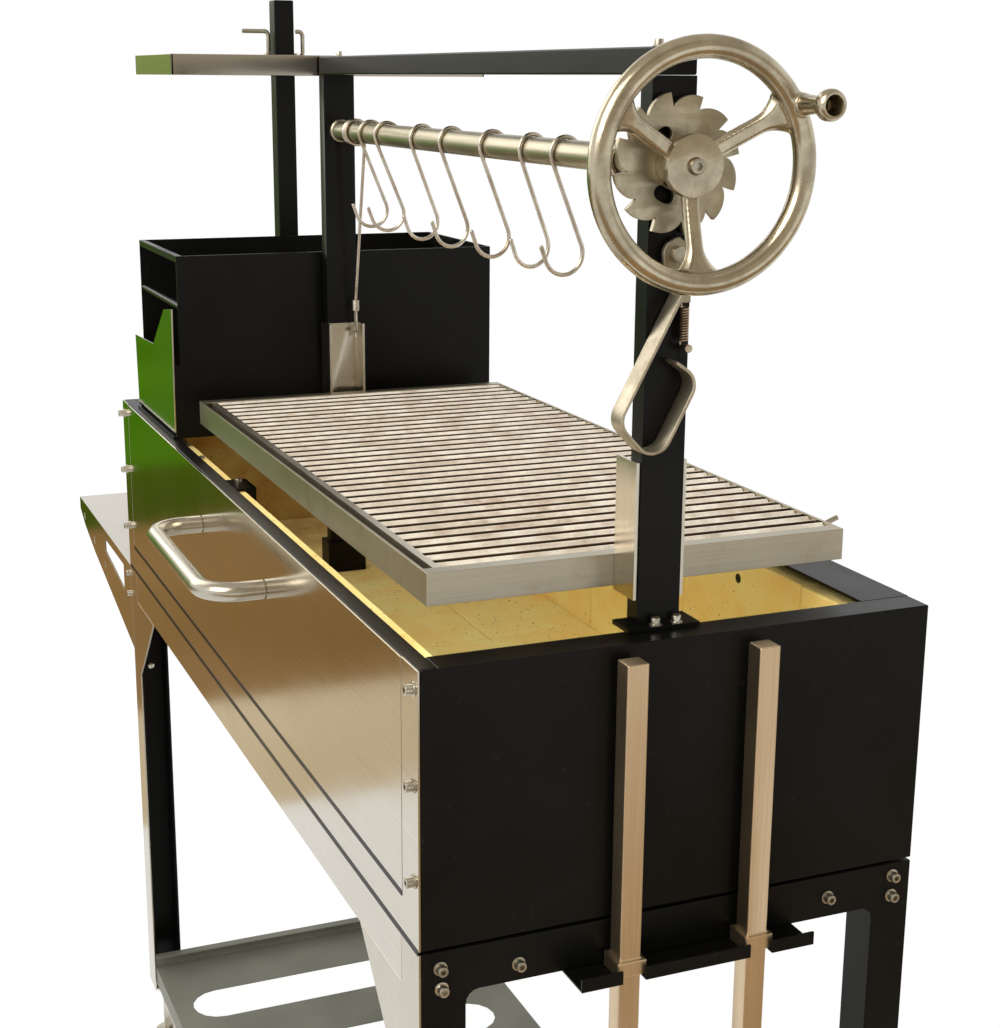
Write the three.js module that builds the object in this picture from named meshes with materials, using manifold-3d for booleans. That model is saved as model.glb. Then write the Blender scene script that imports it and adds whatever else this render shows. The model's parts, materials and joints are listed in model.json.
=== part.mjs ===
// An Argentine grill: a brick-lined firebox on a cart, a grate raised by a crank and two cables,
// a brasero basket for making embers, a warming rack, a side shelf and a row of S-hooks.
// Millimetres, +Z up. The pieces are laid out from the firebox: X = 0 is the outer face of its
// right end, Y = 0 its front face and Z = 0 its rim. The outer group moves them to the floor.
import * as THREE from 'three';
import { mergeVertices } from 'three/addons/utils/BufferGeometryUtils.js';
import Module from 'manifold-3d';

const wasm = await Module();
wasm.setup();

// Driving dimensions
const fireboxLength = 1260;
const fireboxDepth = 488;
const fireboxHeight = 246;
const workingHeight = 1025;
const sheet = 3;
const thinSheet = 2;
const seat = 0.3;
const cutOverrun = 2;
const lap = 1;

// Firebox
const endFlange = 32;
const rearFlange = 50;
const railBack = 18;
const stripWidth = 40;
const sillHeight = 34;
const doorGroove = 2;
const doorSideSeam = 1;
const doorTopSeam = 1;
const runnerInset = 7;
const runnerWidth = 30;
const runnerEndInset = 20;

// Firebrick lining
const brickThickness = 30;
const brickFloorAboveEdge = 54;
const liningTop = -12;
const sideBrickLap = 1;
const rearBrickLap = 2;
const frontBrickFace = 38.3;

// Door handle
const handleRightX = -476;
const handleLeftX = -766;
const handleZ = -66;
const handleReach = 66;
const handleRadius = 10;
const handleBend = 30;
const handleCollarRadius = 13;
const handleCollarThickness = 4;

// Cart
const cartSeam = 3;
const frameDepth = 40;
const railDepth = 41;
const legWidth = 40;
const legCorner = 12;
const legBottomAboveFloor = 95;
const apronHeight = 46;
const apronFold = 38;
const rearApronFold = 30;
const facingWidth = 44;
const gussetSize = 115;

// Lower shelf
const shelfAboveLegBottom = 40;
const shelfHem = 28;
const shelfUpstand = 20;
const shelfReturn = 14;
const slotWidth = 80;
const slotCount = 6;
const slotFirstInset = 196;
const slotLastInset = 184;
const slotFrontY = 30;
const slotRearInset = 48;

// Feet
const footPlateSize = 34;
const footPlateThickness = 5;
const footNutRadius = 11;
const footNutHeight = 10;
const footStemRadius = 7;
const footDiscRadius = 20;
const footDiscHeight = 12;

// Posts and beam
const postThickness = 20;
const postWidth = 40;
const postSetback = 256;
const rightPostOuterX = -34;
const leftPostOuterX = -949;
const postTop = 459;
const beamHeight = 22;
const postPlateThickness = 4;
const postPlateReach = 12;
const postPlateSpread = 14;
const socketSpread = 6;
const socketHeight = 42;
const braseroPostSize = 28;
const braseroPostX = -1227;
const braseroPostSetback = 246;
const braseroPostTop = 560;
const braseroPostPlateReach = 17;

// Winch shaft, ratchet and handwheel
const shaftZ = 390;
const shaftRadius = 12.5;
const shaftBoreClearance = 1;
const shaftRightEnd = 1;
const shaftBossRadius = 14;
const shaftBossLength = 9;
const shaftStubRadius = 7.5;
const shaftStubLength = 12;
const ratchetRadius = 56.5;
const ratchetRoot = 45;
const ratchetThickness = 5;
const ratchetOuterX = -25;
const ratchetTeeth = 12;
const ratchetFirstTip = THREE.MathUtils.degToRad(7.8);
const kidneyRadius = 26.5;
const kidneyHalfWidth = 6;
const kidneyHalfAngle = THREE.MathUtils.degToRad(18);
const kidneyAngles = [4, 124, 244].map(THREE.MathUtils.degToRad);
const wheelRadius = 100;
const wheelTubeRadius = 9.25;
const wheelPlaneX = 18;
const hubRadius = 25;
const hubFaceX = 5;
const hubDiscThickness = 10;
const hubBossRadius = 20;
const hubWall = 3.7;
const spokeThickness = 7;
const spokeRootX = -1;
const spokeAngles = [30, 150, 270].map(THREE.MathUtils.degToRad);
const crankAngle = spokeAngles[0];
const crankRadius = 95;
const crankBossRadius = 8;
const crankBossEndX = 29.7;
const crankPinRadius = 4;
const crankPinEndX = 61;
const crankHeadRadius = 7;
const crankHeadThickness = 3;
const gripRunning = 0.4;
const gripRootRadius = 7;
const gripWaistRadius = 6.3;
const gripWaistX = 50;
const gripFlareX = 57;
const gripEndRadius = 12.5;
const gripMouthRadius = 9;
const gripEndX = 70;
const hubScrewRadius = 4;
const hubScrewClearance = 0.5;
const hubScrewDepth = 12;
const hubScrewHeadRadius = 6.5;
const hubScrewHeadHeight = 8;
const hexSocketRadius = 3.4;
const hexSocketDepth = 4;

// Pawl and its spring
const pawlOffsetY = 2;
const pawlZ = 319;
const pawlEyeRadius = 12;
const pawlNoseY = 2;
const pawlNoseZ = 13.3;
const pawlNoseFront = -7;
const pawlNoseFrontZ = 8;
const pawlNoseRear = 9;
const pawlNoseRearZ = 6;
const pawlTailFront = -6;
const pawlTailRear = 14;
const pawlTailKneeZ = -30;
const pawlTailBottom = -40;
const pawlNeck = 10;
const leverStart = [4, 291];
const leverKnee = [-53, 184];
const leverHeel = [-27, 156];
const leverToe = [-10, 160];
const leverShoulder = [20, 217];
const leverTip = [-2, 232];
const leverWidth = 20;
const leverThickness = 3;
const leverBend = 9;
const leverPostGap = 2;
const pivotBoltRadius = 4;
const pivotBoltRunning = 0.4;
const pivotBoltHeadRadius = 6.5;
const pivotBoltHeadHeight = 6.5;
const pivotSpacerRadius = 6;
const boltInPost = 10;
const springOffsetY = 12;
const springScrewZ = 242;
const springScrewRadius = 2;
const springScrewHeadRadius = 3.5;
const springScrewHeadHeight = 4;
const springScrewHeadX = -22;
const springWireRadius = 0.65;
const springCoilRadius = 2.65;
const springCurls = 12;

// Grate
const grateFrontY = 35;
const grateRearInset = 45;
const grateBottom = 28;
const grateHeight = 29;
const gratePostGap = 20;
const grateEndFlange = 15;
const gutterWidth = 27;
const gutterWall = 2;
const grateLedge = 14;
const barWidth = 16;
const barDepth = 9;
const barWall = 2;
const barCount = 33;
const barOverGutter = 8;
const barRailWidth = 18;
const barRailHeight = 4;
const barRailLap = 1;
const barRailShares = [0.3, 0.72];
const liftRodRadius = 2.5;
const liftRodX = -112;
const liftRodReach = 18;
const liftRodRise = 7;
const liftRodDrop = 7;

// Guides round the posts
const guideBottom = 25;
const guideTop = 145;
const guideWall = 3;
const guideRunning = 0.8;
const guidePostCover = 18;
const lugThickness = 3;
const lugHeight = 16;
const lugReach = 12;
const ferruleRadius = 4.5;
const ferruleBottom = 162;
const ferruleTop = 176;
const ferruleOffsetY = 13;
const ferruleInset = 17;
const thimbleWireRadius = 1.4;
const thimbleHalfWidth = 4;
const thimbleBottom = 135;

// Cables and their windings
const cableRadius = 2;
const drumRadius = 14.8;
const windingPitch = 5;
const windingTurns = 3;
const windingInset = 60;

// S-hooks
const hookPlaces = [-240, -315, -415, -530, -622, -742, -802];
const hookWireRadius = 2;
const hookLoopRadius = 14.8;
const hookLowerY = 0;
const hookLowerZ = -91;
const hookLowerRadius = 19.5;
const hookUpperTip = THREE.MathUtils.degToRad(6);
const hookLowerTip = THREE.MathUtils.degToRad(-160);
const hookTipLength = 14;

// Brasero
const braseroRightX = -956;
const braseroLeftX = -1195;
const braseroFrontY = 22;
const braseroRearInset = 37;
const braseroTop = 235;
const braseroLipY = 10;
const braseroBaseRim = 25;
const braseroTopBar = 8;
const braseroRodZ = 170;
const braseroRodRadius = 4;
const braseroPlateBack = 14;
const plateLowRightX = -956;
const plateLowLeftX = -1194;
const plateBottomZ = 8;
const plateLeftX = -1201;
const plateLeftZ = 103;
const plateKneeX = -1075;
const plateKneeZ = 108;
const plateRiseX = -999;
const plateRiseZ = 163;
const plateRightX = -950;
const plateRightZ = 169;
const gridRailWidth = 12;
const gridThickness = 8;
const gridBarCount = 11;
const gridBarWidth = 9;

// Warming rack and its catch rod
const rackRightX = -953;
const rackLeftX = -1180;
const rackFrontY = 25;
const rackRearInset = 48;
const rackTopBelowPostTop = 77.5;
const rackHeight = 25;
const rackBarCount = 13;
const rackBarRadius = 4;
const rackBarDrop = 10;
const sleeveClearance = 0.4;
const sleeveWall = 3;
const armWidth = 12;
const collarReach = 15;
const collarSpread = 14;
const catchRodRadius = 3;
const catchRodBend = 6;
const catchTipOffset = -57;
const catchTopBelowPostTop = 42;
const catchFrontOffset = -20;
const catchRearOffset = 30;
const catchSideX = -1250;
const catchHook = 10;

// Side shelf
const sideShelfLength = 462;
const sideShelfRearInset = 48;
const sideShelfBelowFirebox = 4;
const shelfEndHem = 20;
const bracketDepth = 130;
const bracketKneeDepths = [85, 65, 40];
const bracketKneePlaces = [227, 324, 418];
const bracketHoleDrops = [60, 43, 24];
const bracketHoleRadius = 6;
const windowNear = 60;
const windowFar = 220;
const windowTopDrop = 15;
const windowNearDrop = 55;
const windowFarDrop = 35;
const pegRadius = 4;
const pegReach = 8;
const pegDrop = 20;
const pegInset = 60;
const pegSlack = 0.5;
const hookPlateDepth = 85;

// Rack on the right end and the two bars that hang in it
const toolRackInset = 30;
const toolRackReach = 36;
const toolRackFrontOffset = -99;
const toolRackRearOffset = 130;
const toolRackThickness = 2.5;
const toolRackLip = 10;
const hangBarSize = 20;
const hangBarInnerX = 7;
const hangBarOffsets = [-49, 76];
const hangBarTop = -9;
const hangBarBottom = -600;
const hangCollarSpread = 4;
const hangCollarHeight = 14;
const notchClearance = 0.7;

// Counts and tolerances of the surfaces
const weld = 0.001;
const grid = 1 / 1024;
const roundSides = 24;
const wireSides = 6;
const springSides = 5;
const tubeSides = 12;
const cornerSteps = 4;
const springSteps = 8;
const windingSteps = 24;
const leastFormGap = 0.4;

// Places that several pieces share
const leftX = -fireboxLength;
const innerRightX = -sheet - seat;
const innerLeftX = leftX + sheet + seat;
const wallFront = thinSheet + seat;
const wallBack = wallFront + sheet;
const rearInside = fireboxDepth - sheet;
const floorTop = -fireboxHeight + brickFloorAboveEdge;
const brickFloorBottom = floorTop - brickThickness;
const floorSheetTop = brickFloorBottom - seat;
const postCentreY = fireboxDepth - postSetback;
const braseroPostY = fireboxDepth - braseroPostSetback;
const pawlY = postCentreY + pawlOffsetY;
const springY = postCentreY + springOffsetY;
const grateRearY = fireboxDepth - grateRearInset;
const braseroRearY = fireboxDepth - braseroRearInset;
const rackRearY = fireboxDepth - rackRearInset;
const rackTop = braseroPostTop - rackTopBelowPostTop;
const rackBottom = rackTop - rackHeight;
const catchTopZ = braseroPostTop - catchTopBelowPostTop;
const slotRearY = fireboxDepth - slotRearInset;
const sideShelfDepth = fireboxDepth - sideShelfRearInset;
const hangBarCentres = hangBarOffsets.map((offset) => postCentreY + offset);
const cartTop = -fireboxHeight - cartSeam;
const railBottom = cartTop - railDepth;
const floorZ = -workingHeight;
const legBottom = floorZ + legBottomAboveFloor;
const shelfTop = legBottom + shelfAboveLegBottom;
const slotPitch = (fireboxLength - slotFirstInset - slotLastInset) / (slotCount - 1);
const rightPostInnerX = rightPostOuterX - postThickness;
const leftPostInnerX = leftPostOuterX + postThickness;
const postFrontY = postCentreY - postWidth / 2;
const postRearY = postCentreY + postWidth / 2;
const postMiddleX = (rightPostInnerX + leftPostInnerX) / 2;
const grateRightX = rightPostInnerX - gratePostGap;
const grateLeftX = leftPostInnerX + gratePostGap;
const ratchetInnerX = ratchetOuterX - ratchetThickness;
const pawlPlateX = (ratchetInnerX + ratchetOuterX) / 2;
const leverX = rightPostOuterX + leverPostGap + leverWidth / 2;
const barApex = grateHeight - barWall / 2 - barDepth;
const drumY = postCentreY + drumRadius;
const shelfDeckZ = -fireboxHeight - sideShelfBelowFirebox;

// Materials
function metal(color, roughness, metalness) {
  return new THREE.MeshStandardMaterial({ color, roughness, metalness });
}
const blackSteel = metal(0x17160f, 0.4, 0.3);
const stainless = metal(0xb8b4a8, 0.32, 1);
const castSteel = metal(0xb5a888, 0.38, 1);
const blackShelf = metal(0x2a2a28, 0.5, 0.3);
const springSteel = metal(0xa89a86, 0.4, 1);
const zincSteel = metal(0xc2c0bb, 0.35, 1);
const firebrick = metal(0xd9bb66, 0.95, 0);

// Solids: every geometry below is a closed body with merged vertices. The corners lie on a fine
// grid that 32-bit numbers hold exactly, so that faces meant to be in one plane are in one plane.
function bare(geometry) {
  const copy = geometry.clone();
  const place = copy.attributes.position;
  for (let i = 0; i < place.array.length; i += 1) {
    place.array[i] = Math.round(place.array[i] / grid) * grid;
  }
  copy.deleteAttribute('normal');
  copy.deleteAttribute('uv');
  const merged = mergeVertices(copy, weld);
  const index = merged.index.array;
  const kept = [];
  for (let i = 0; i < index.length; i += 3) {
    const [a, b, c] = [index[i], index[i + 1], index[i + 2]];
    if (a !== b && b !== c && c !== a) kept.push(a, b, c);
  }
  merged.setIndex(kept);
  return signedVolume(merged) < 0 ? flipped(merged) : merged;
}

function signedVolume(geometry) {
  const place = geometry.attributes.position;
  const index = geometry.index.array;
  const corner = (i) => new THREE.Vector3().fromBufferAttribute(place, index[i]);
  let total = 0;
  for (let i = 0; i < index.length; i += 3) {
    total += corner(i).dot(corner(i + 1).cross(corner(i + 2)));
  }
  return total;
}

function flipped(geometry) {
  const index = Array.from(geometry.index.array);
  for (let i = 0; i < index.length; i += 3) {
    [index[i + 1], index[i + 2]] = [index[i + 2], index[i + 1]];
  }
  geometry.setIndex(index);
  return geometry;
}

function solidOf(geometry) {
  const merged = bare(geometry);
  return new wasm.Manifold(new wasm.Mesh({
    numProp: 3,
    vertProperties: new Float32Array(merged.attributes.position.array),
    triVerts: new Uint32Array(merged.index.array),
  }));
}

// The joined or cut solid, without the slivers that faces in one plane leave behind
function geometryOf(solid) {
  const mesh = solid.asOriginal().simplify(2 * grid).getMesh();
  const geometry = new THREE.BufferGeometry();
  geometry.setAttribute('position', new THREE.BufferAttribute(mesh.vertProperties, 3));
  geometry.setIndex(new THREE.BufferAttribute(mesh.triVerts, 1));
  return geometry;
}

function join(...geometries) {
  return geometryOf(geometries.map(solidOf).reduce((sum, solid) => sum.add(solid)));
}

function cut(base, ...tools) {
  return geometryOf(tools.map(solidOf).reduce((rest, solid) => rest.subtract(solid), solidOf(base)));
}

function box([x0, x1], [y0, y1], [z0, z1]) {
  const block = new THREE.BoxGeometry(Math.abs(x1 - x0), Math.abs(y1 - y0), Math.abs(z1 - z0));
  return block.translate((x0 + x1) / 2, (y0 + y1) / 2, (z0 + z1) / 2);
}

// An outline in the plane across an axis: (y, z) for x, (x, z) for y and (x, y) for z
function prism(axis, outline, from, to, holes = []) {
  const shape = new THREE.Shape(outline.map(([u, v]) => new THREE.Vector2(u, v)));
  shape.holes = holes.map((hole) => new THREE.Path(hole.map(([u, v]) => new THREE.Vector2(u, v))));
  const length = Math.abs(to - from);
  const start = Math.min(from, to);
  const body = new THREE.ExtrudeGeometry(shape, { depth: length, bevelEnabled: false });
  const [X, Y, Z] = [[1, 0, 0], [0, 1, 0], [0, 0, 1]].map((axes) => new THREE.Vector3(...axes));
  const turn = new THREE.Matrix4();
  if (axis === 'x') turn.makeBasis(Y, Z, X).setPosition(start, 0, 0);
  if (axis === 'y') turn.makeBasis(X, Z, Y.clone().negate()).setPosition(0, start + length, 0);
  if (axis === 'z') turn.makeBasis(X, Y, Z).setPosition(0, 0, start);
  return body.applyMatrix4(turn);
}

function circle(u, v, radius, sides = roundSides) {
  return Array.from({ length: sides }, (_, i) => {
    const angle = (i / sides) * 2 * Math.PI;
    return [u + radius * Math.cos(angle), v + radius * Math.sin(angle)];
  });
}

function rod(axis, [u, v], radius, from, to, sides = roundSides) {
  return prism(axis, circle(u, v, radius, sides), from, to);
}

// A body turned about the X axis from a list of [x, radius]
function turned(profile, sides = roundSides) {
  const points = profile.map(([x, radius]) => new THREE.Vector2(radius, x));
  return new THREE.LatheGeometry(points, sides).rotateZ(-Math.PI / 2);
}

function mirrored(geometry, planeX) {
  return bare(geometry.clone().scale(-1, 1, 1).translate(2 * planeX, 0, 0));
}

// The corners of a path, each rounded to an arc of the given radius
function bend(corners, radius) {
  const stations = [corners[0]];
  for (let i = 1; i < corners.length - 1; i += 1) {
    const corner = corners[i];
    const back = corners[i - 1].clone().sub(corner).normalize();
    const ahead = corners[i + 1].clone().sub(corner).normalize();
    const half = back.angleTo(ahead) / 2;
    const centre = back.clone().add(ahead).normalize().multiplyScalar(radius / Math.sin(half)).add(corner);
    const start = back.multiplyScalar(radius / Math.tan(half)).add(corner).sub(centre);
    const end = ahead.multiplyScalar(radius / Math.tan(half)).add(corner).sub(centre);
    const sweep = start.angleTo(end);
    for (let step = 0; step <= cornerSteps; step += 1) {
      const share = step / cornerSteps;
      const a = start.clone().multiplyScalar(Math.sin((1 - share) * sweep) / Math.sin(sweep));
      const b = end.clone().multiplyScalar(Math.sin(share * sweep) / Math.sin(sweep));
      stations.push(a.add(b).add(centre));
    }
  }
  stations.push(corners[corners.length - 1]);
  return stations;
}

function roundedOutline(corners, radius) {
  const closed = bend(corners.map(([u, v]) => new THREE.Vector3(u, v, 0)), radius);
  return closed.map(({ x, y }) => [x, y]);
}

// A path that keeps the stations it is given, so that a straight run needs no rings between its ends
class Route extends THREE.Curve {
  constructor(stations) {
    super();
    this.stations = stations;
  }

  getPoint(share) {
    const place = share * (this.stations.length - 1);
    const index = Math.min(Math.floor(place), this.stations.length - 2);
    return this.stations[index].clone().lerp(this.stations[index + 1], place - index);
  }

  getPointAt(share) {
    return this.getPoint(share);
  }

  getTangentAt(share) {
    const last = this.stations.length - 1;
    const index = Math.round(share * last);
    const here = this.stations[index];
    const before = index > 0 ? here.clone().sub(this.stations[index - 1]).normalize() : null;
    const after = index < last ? this.stations[index + 1].clone().sub(here).normalize() : null;
    if (!before) return after;
    return after ? before.add(after).normalize() : before;
  }
}

function tube(stations, section) {
  const options = { steps: stations.length - 1, extrudePath: new Route(stations), bevelEnabled: false };
  return new THREE.ExtrudeGeometry(section, options);
}

function roundSection(radius, sides) {
  return new THREE.Shape(circle(0, 0, radius, sides).map(([u, v]) => new THREE.Vector2(u, v)));
}

function flatSection(width, thickness) {
  const corners = [[-1, -1], [1, -1], [1, 1], [-1, 1]];
  return new THREE.Shape(corners.map(([u, v]) => new THREE.Vector2((u * width) / 2, (v * thickness) / 2)));
}

function point(x, y, z) {
  return new THREE.Vector3(x, y, z);
}

// The least distance between two stretches of one tube, at least half a loop apart
function leastGap(stations, stepsPerLoop, radius) {
  let least = Infinity;
  for (let i = 0; i < stations.length; i += 1) {
    for (let j = i + Math.ceil(stepsPerLoop / 2); j < stations.length; j += 1) {
      least = Math.min(least, stations[i].distanceTo(stations[j]));
    }
  }
  return least - 2 * radius;
}

function reportGap(name, gap) {
  const verdict = gap > leastFormGap ? 'clear' : 'TOO CLOSE';
  console.log(`${name}: least gap to itself ${gap.toFixed(2)} mm, ${verdict}`);
}

// The scene
const grill = new THREE.Group();
grill.name = 'argentine_grill';
const winch = new THREE.Group();
winch.position.set(0, postCentreY, shaftZ);
const grate = new THREE.Group();
grate.position.set(0, 0, grateBottom);
grill.add(winch, grate);

function piece(name, geometry, material, parent = grill) {
  const body = bare(geometry);
  body.computeVertexNormals();
  const mesh = new THREE.Mesh(body, material);
  mesh.name = name;
  parent.add(mesh);
  return mesh;
}

// Firebox: two end panels, a rear panel with the floor, a front rail and the stainless front
function makeEndPanels() {
  const wall = box([-sheet, 0], [wallFront, fireboxDepth], [-fireboxHeight, 0]);
  const flange = box([-endFlange, 0], [railBack + seat, fireboxDepth], [-sheet, 0]);
  const right = join(wall, flange);
  piece('right_end_panel', right, blackSteel);
  piece('left_end_panel', mirrored(right, leftX / 2), blackSteel);
}

function makeRearPanel() {
  const inner = [innerLeftX, innerRightX];
  const flangeSpan = [leftX + endFlange + seat, -endFlange - seat];
  const wall = box(inner, [rearInside, fireboxDepth], [-fireboxHeight, -sheet - seat]);
  const crest = box(flangeSpan, [rearInside, fireboxDepth], [-fireboxHeight, 0]);
  const flange = box(flangeSpan, [fireboxDepth - rearFlange, fireboxDepth], [-sheet, 0]);
  const floor = box(inner, [wallBack + seat, fireboxDepth], [floorSheetTop - sheet, floorSheetTop]);
  const runnerRun = [wallBack + runnerEndInset, fireboxDepth - runnerEndInset];
  const runner = box([-runnerInset - runnerWidth, -runnerInset], runnerRun, [cartTop + seat, floorSheetTop]);
  piece('rear_panel', join(wall, crest, flange, floor, runner, mirrored(runner, leftX / 2)), blackSteel);
}

function makeFrontRail() {
  const inner = [innerLeftX, innerRightX];
  const wall = box(inner, [wallFront, wallBack], [-fireboxHeight, 0]);
  const rail = box(inner, [wallFront, railBack], [-sheet, 0]);
  piece('front_rail', join(wall, rail), blackSteel);
}

function makeFrontSurround() {
  const sillTop = -fireboxHeight + sillHeight;
  const outline = [
    [leftX, -fireboxHeight], [0, -fireboxHeight], [0, 0], [-stripWidth, 0],
    [-stripWidth, sillTop], [leftX + stripWidth, sillTop], [leftX + stripWidth, 0], [leftX, 0],
  ];
  piece('front_surround', prism('y', outline, 0, thinSheet), stainless);
}

// Lining: five slabs of firebrick standing on the floor sheet
function makeLining() {
  const heights = [brickFloorBottom, liningTop];
  const sideFace = -endFlange - sideBrickLap;
  const depths = [wallBack + seat, rearInside - seat];
  const span = [leftX - sideFace + seat, sideFace - seat];
  const rearFace = fireboxDepth - rearFlange - rearBrickLap;
  const right = box([sideFace, innerRightX], depths, heights);
  piece('right_lining', right, firebrick);
  piece('left_lining', mirrored(right, leftX / 2), firebrick);
  piece('rear_lining', box(span, [rearFace, rearInside - seat], heights), firebrick);
  piece('front_lining', box(span, [wallBack + seat, frontBrickFace], heights), firebrick);
  const floorDepths = [frontBrickFace + seat, rearFace - seat];
  piece('floor_lining', box(span, floorDepths, [brickFloorBottom, floorTop]), firebrick);
}

// Door: a plain panel that lifts in the plane of the surround, with a bent tube handle
function makeDoor() {
  const across = [leftX + stripWidth + doorSideSeam, -stripWidth - doorSideSeam];
  const heights = [-fireboxHeight + sillHeight + doorGroove, -doorTopSeam];
  piece('door_panel', box(across, [0, thinSheet], heights), stainless);
  const route = bend([
    point(handleRightX, -seat, handleZ),
    point(handleRightX, -handleReach, handleZ),
    point(handleLeftX, -handleReach, handleZ),
    point(handleLeftX, -seat, handleZ),
  ], handleBend);
  const grip = tube(route, roundSection(handleRadius, tubeSides));
  const collar = (x) => rod('y', [x, handleZ], handleCollarRadius, -seat - handleCollarThickness, -seat);
  piece('door_handle', join(grip, collar(handleRightX), collar(handleLeftX)), stainless);
}

// Cart: two end frames folded as channels, aprons, stainless facings and the lower shelf
function archOutline(inset, foot) {
  const front = wallFront + inset;
  const rear = fireboxDepth - inset;
  const top = cartTop - inset;
  const frontLeg = wallFront + legWidth - inset;
  const rearLeg = fireboxDepth - legWidth + inset;
  const arch = [[rearLeg, foot], [rearLeg, railBottom + inset], [frontLeg, railBottom + inset], [frontLeg, foot]];
  return [[front, foot], [front, top], [rear, top], [rear, foot], ...roundedOutline(arch, legCorner + inset)];
}

function makeEndFrames() {
  const plate = prism('x', archOutline(0, legBottom), -frameDepth, 0);
  const pocket = prism('x', archOutline(sheet, legBottom - cutOverrun), -frameDepth - cutOverrun, -sheet);
  const frame = cut(plate, pocket);
  piece('right_end_frame', frame, blackSteel);
  const pegZ = cartTop - pegDrop;
  const pegs = [pegInset, sideShelfDepth - pegInset].map((y) => (
    rod('x', [y, pegZ], pegRadius, leftX - pegReach, leftX + sheet / 2, tubeSides)
  ));
  piece('left_end_frame', join(mirrored(frame, leftX / 2), ...pegs), blackSteel);
}

function makeAprons() {
  const across = [leftX + facingWidth + seat, -facingWidth - seat];
  const frontWeb = box(across, [0, thinSheet], [cartTop - apronHeight, cartTop]);
  const frontFold = box(across, [0, thinSheet + apronFold], [cartTop - thinSheet, cartTop]);
  piece('front_apron', join(frontWeb, frontFold), stainless);
  const rearAcross = [leftX + frameDepth + seat, -frameDepth - seat];
  const rearWeb = box(rearAcross, [rearInside, fireboxDepth], [railBottom, cartTop]);
  const rearFold = box(rearAcross, [rearInside - rearApronFold, fireboxDepth], [cartTop - thinSheet, cartTop]);
  piece('rear_apron', join(rearWeb, rearFold), blackSteel);
}

function makeLegFacings() {
  const gussetTop = cartTop - apronHeight - seat;
  const outline = [
    [0, legBottom], [0, cartTop], [-facingWidth, cartTop], [-facingWidth, gussetTop],
    [-facingWidth - gussetSize, gussetTop], [-facingWidth, gussetTop - gussetSize], [-facingWidth, legBottom],
  ];
  const facing = prism('y', outline, 0, thinSheet);
  piece('right_leg_facing', facing, stainless);
  piece('left_leg_facing', mirrored(facing, leftX / 2), stainless);
}

function roundEndedSlot(x, fromY, toY, width) {
  const radius = width / 2;
  const half = roundSides / 3;
  const end = (y, start) => Array.from({ length: half + 1 }, (_, i) => {
    const angle = start + (i / half) * Math.PI;
    return [x + radius * Math.cos(angle), y + radius * Math.sin(angle)];
  });
  return [...end(toY - radius, 0), ...end(fromY + radius, Math.PI)];
}

function makeLowerShelf() {
  const right = -frameDepth - seat;
  const left = leftX + frameDepth + seat;
  const outline = [[left, wallFront], [right, wallFront], [right, fireboxDepth], [left, fireboxDepth]];
  const slots = Array.from({ length: slotCount }, (_, i) => (
    roundEndedSlot(-slotFirstInset - i * slotPitch, slotFrontY, slotRearY, slotWidth)
  ));
  const deck = prism('z', outline, shelfTop - thinSheet, shelfTop, slots);
  const hemHeights = [shelfTop - shelfHem, shelfTop];
  const frontHem = box([left, right], [wallFront, wallFront + thinSheet], hemHeights);
  const rearHem = box([left, right], [fireboxDepth - thinSheet, fireboxDepth], hemHeights);
  const depths = [wallFront, fireboxDepth];
  const crown = shelfTop + shelfUpstand;
  const upstand = box([right - thinSheet, right], depths, [shelfTop - thinSheet, crown]);
  const fold = box([right - shelfReturn, right], depths, [crown - thinSheet, crown]);
  const ends = [upstand, fold, mirrored(upstand, leftX / 2), mirrored(fold, leftX / 2)];
  piece('lower_shelf', join(deck, frontHem, rearHem, ...ends), blackShelf);
}

function makeFeet() {
  const plateTop = legBottom - seat;
  const plateBottom = plateTop - footPlateThickness;
  const half = footPlateSize / 2;
  const discTop = floorZ + footDiscHeight;
  const foot = join(
    box([-half, half], [-half, half], [plateBottom, plateTop]),
    rod('z', [0, 0], footNutRadius, plateBottom - footNutHeight, plateBottom + lap, wireSides),
    rod('z', [0, 0], footStemRadius, discTop - lap, plateBottom + lap, tubeSides),
    rod('z', [0, 0], footDiscRadius, floorZ, discTop),
  );
  const frontY = wallFront + legWidth / 2;
  const rearY = fireboxDepth - legWidth / 2;
  const places = {
    foot_front_right: [-frameDepth / 2, frontY],
    foot_rear_right: [-frameDepth / 2, rearY],
    foot_front_left: [leftX + frameDepth / 2, frontY],
    foot_rear_left: [leftX + frameDepth / 2, rearY],
  };
  for (const [name, [x, y]] of Object.entries(places)) {
    piece(name, foot, zincSteel).position.set(x, y, 0);
  }
}

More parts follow.
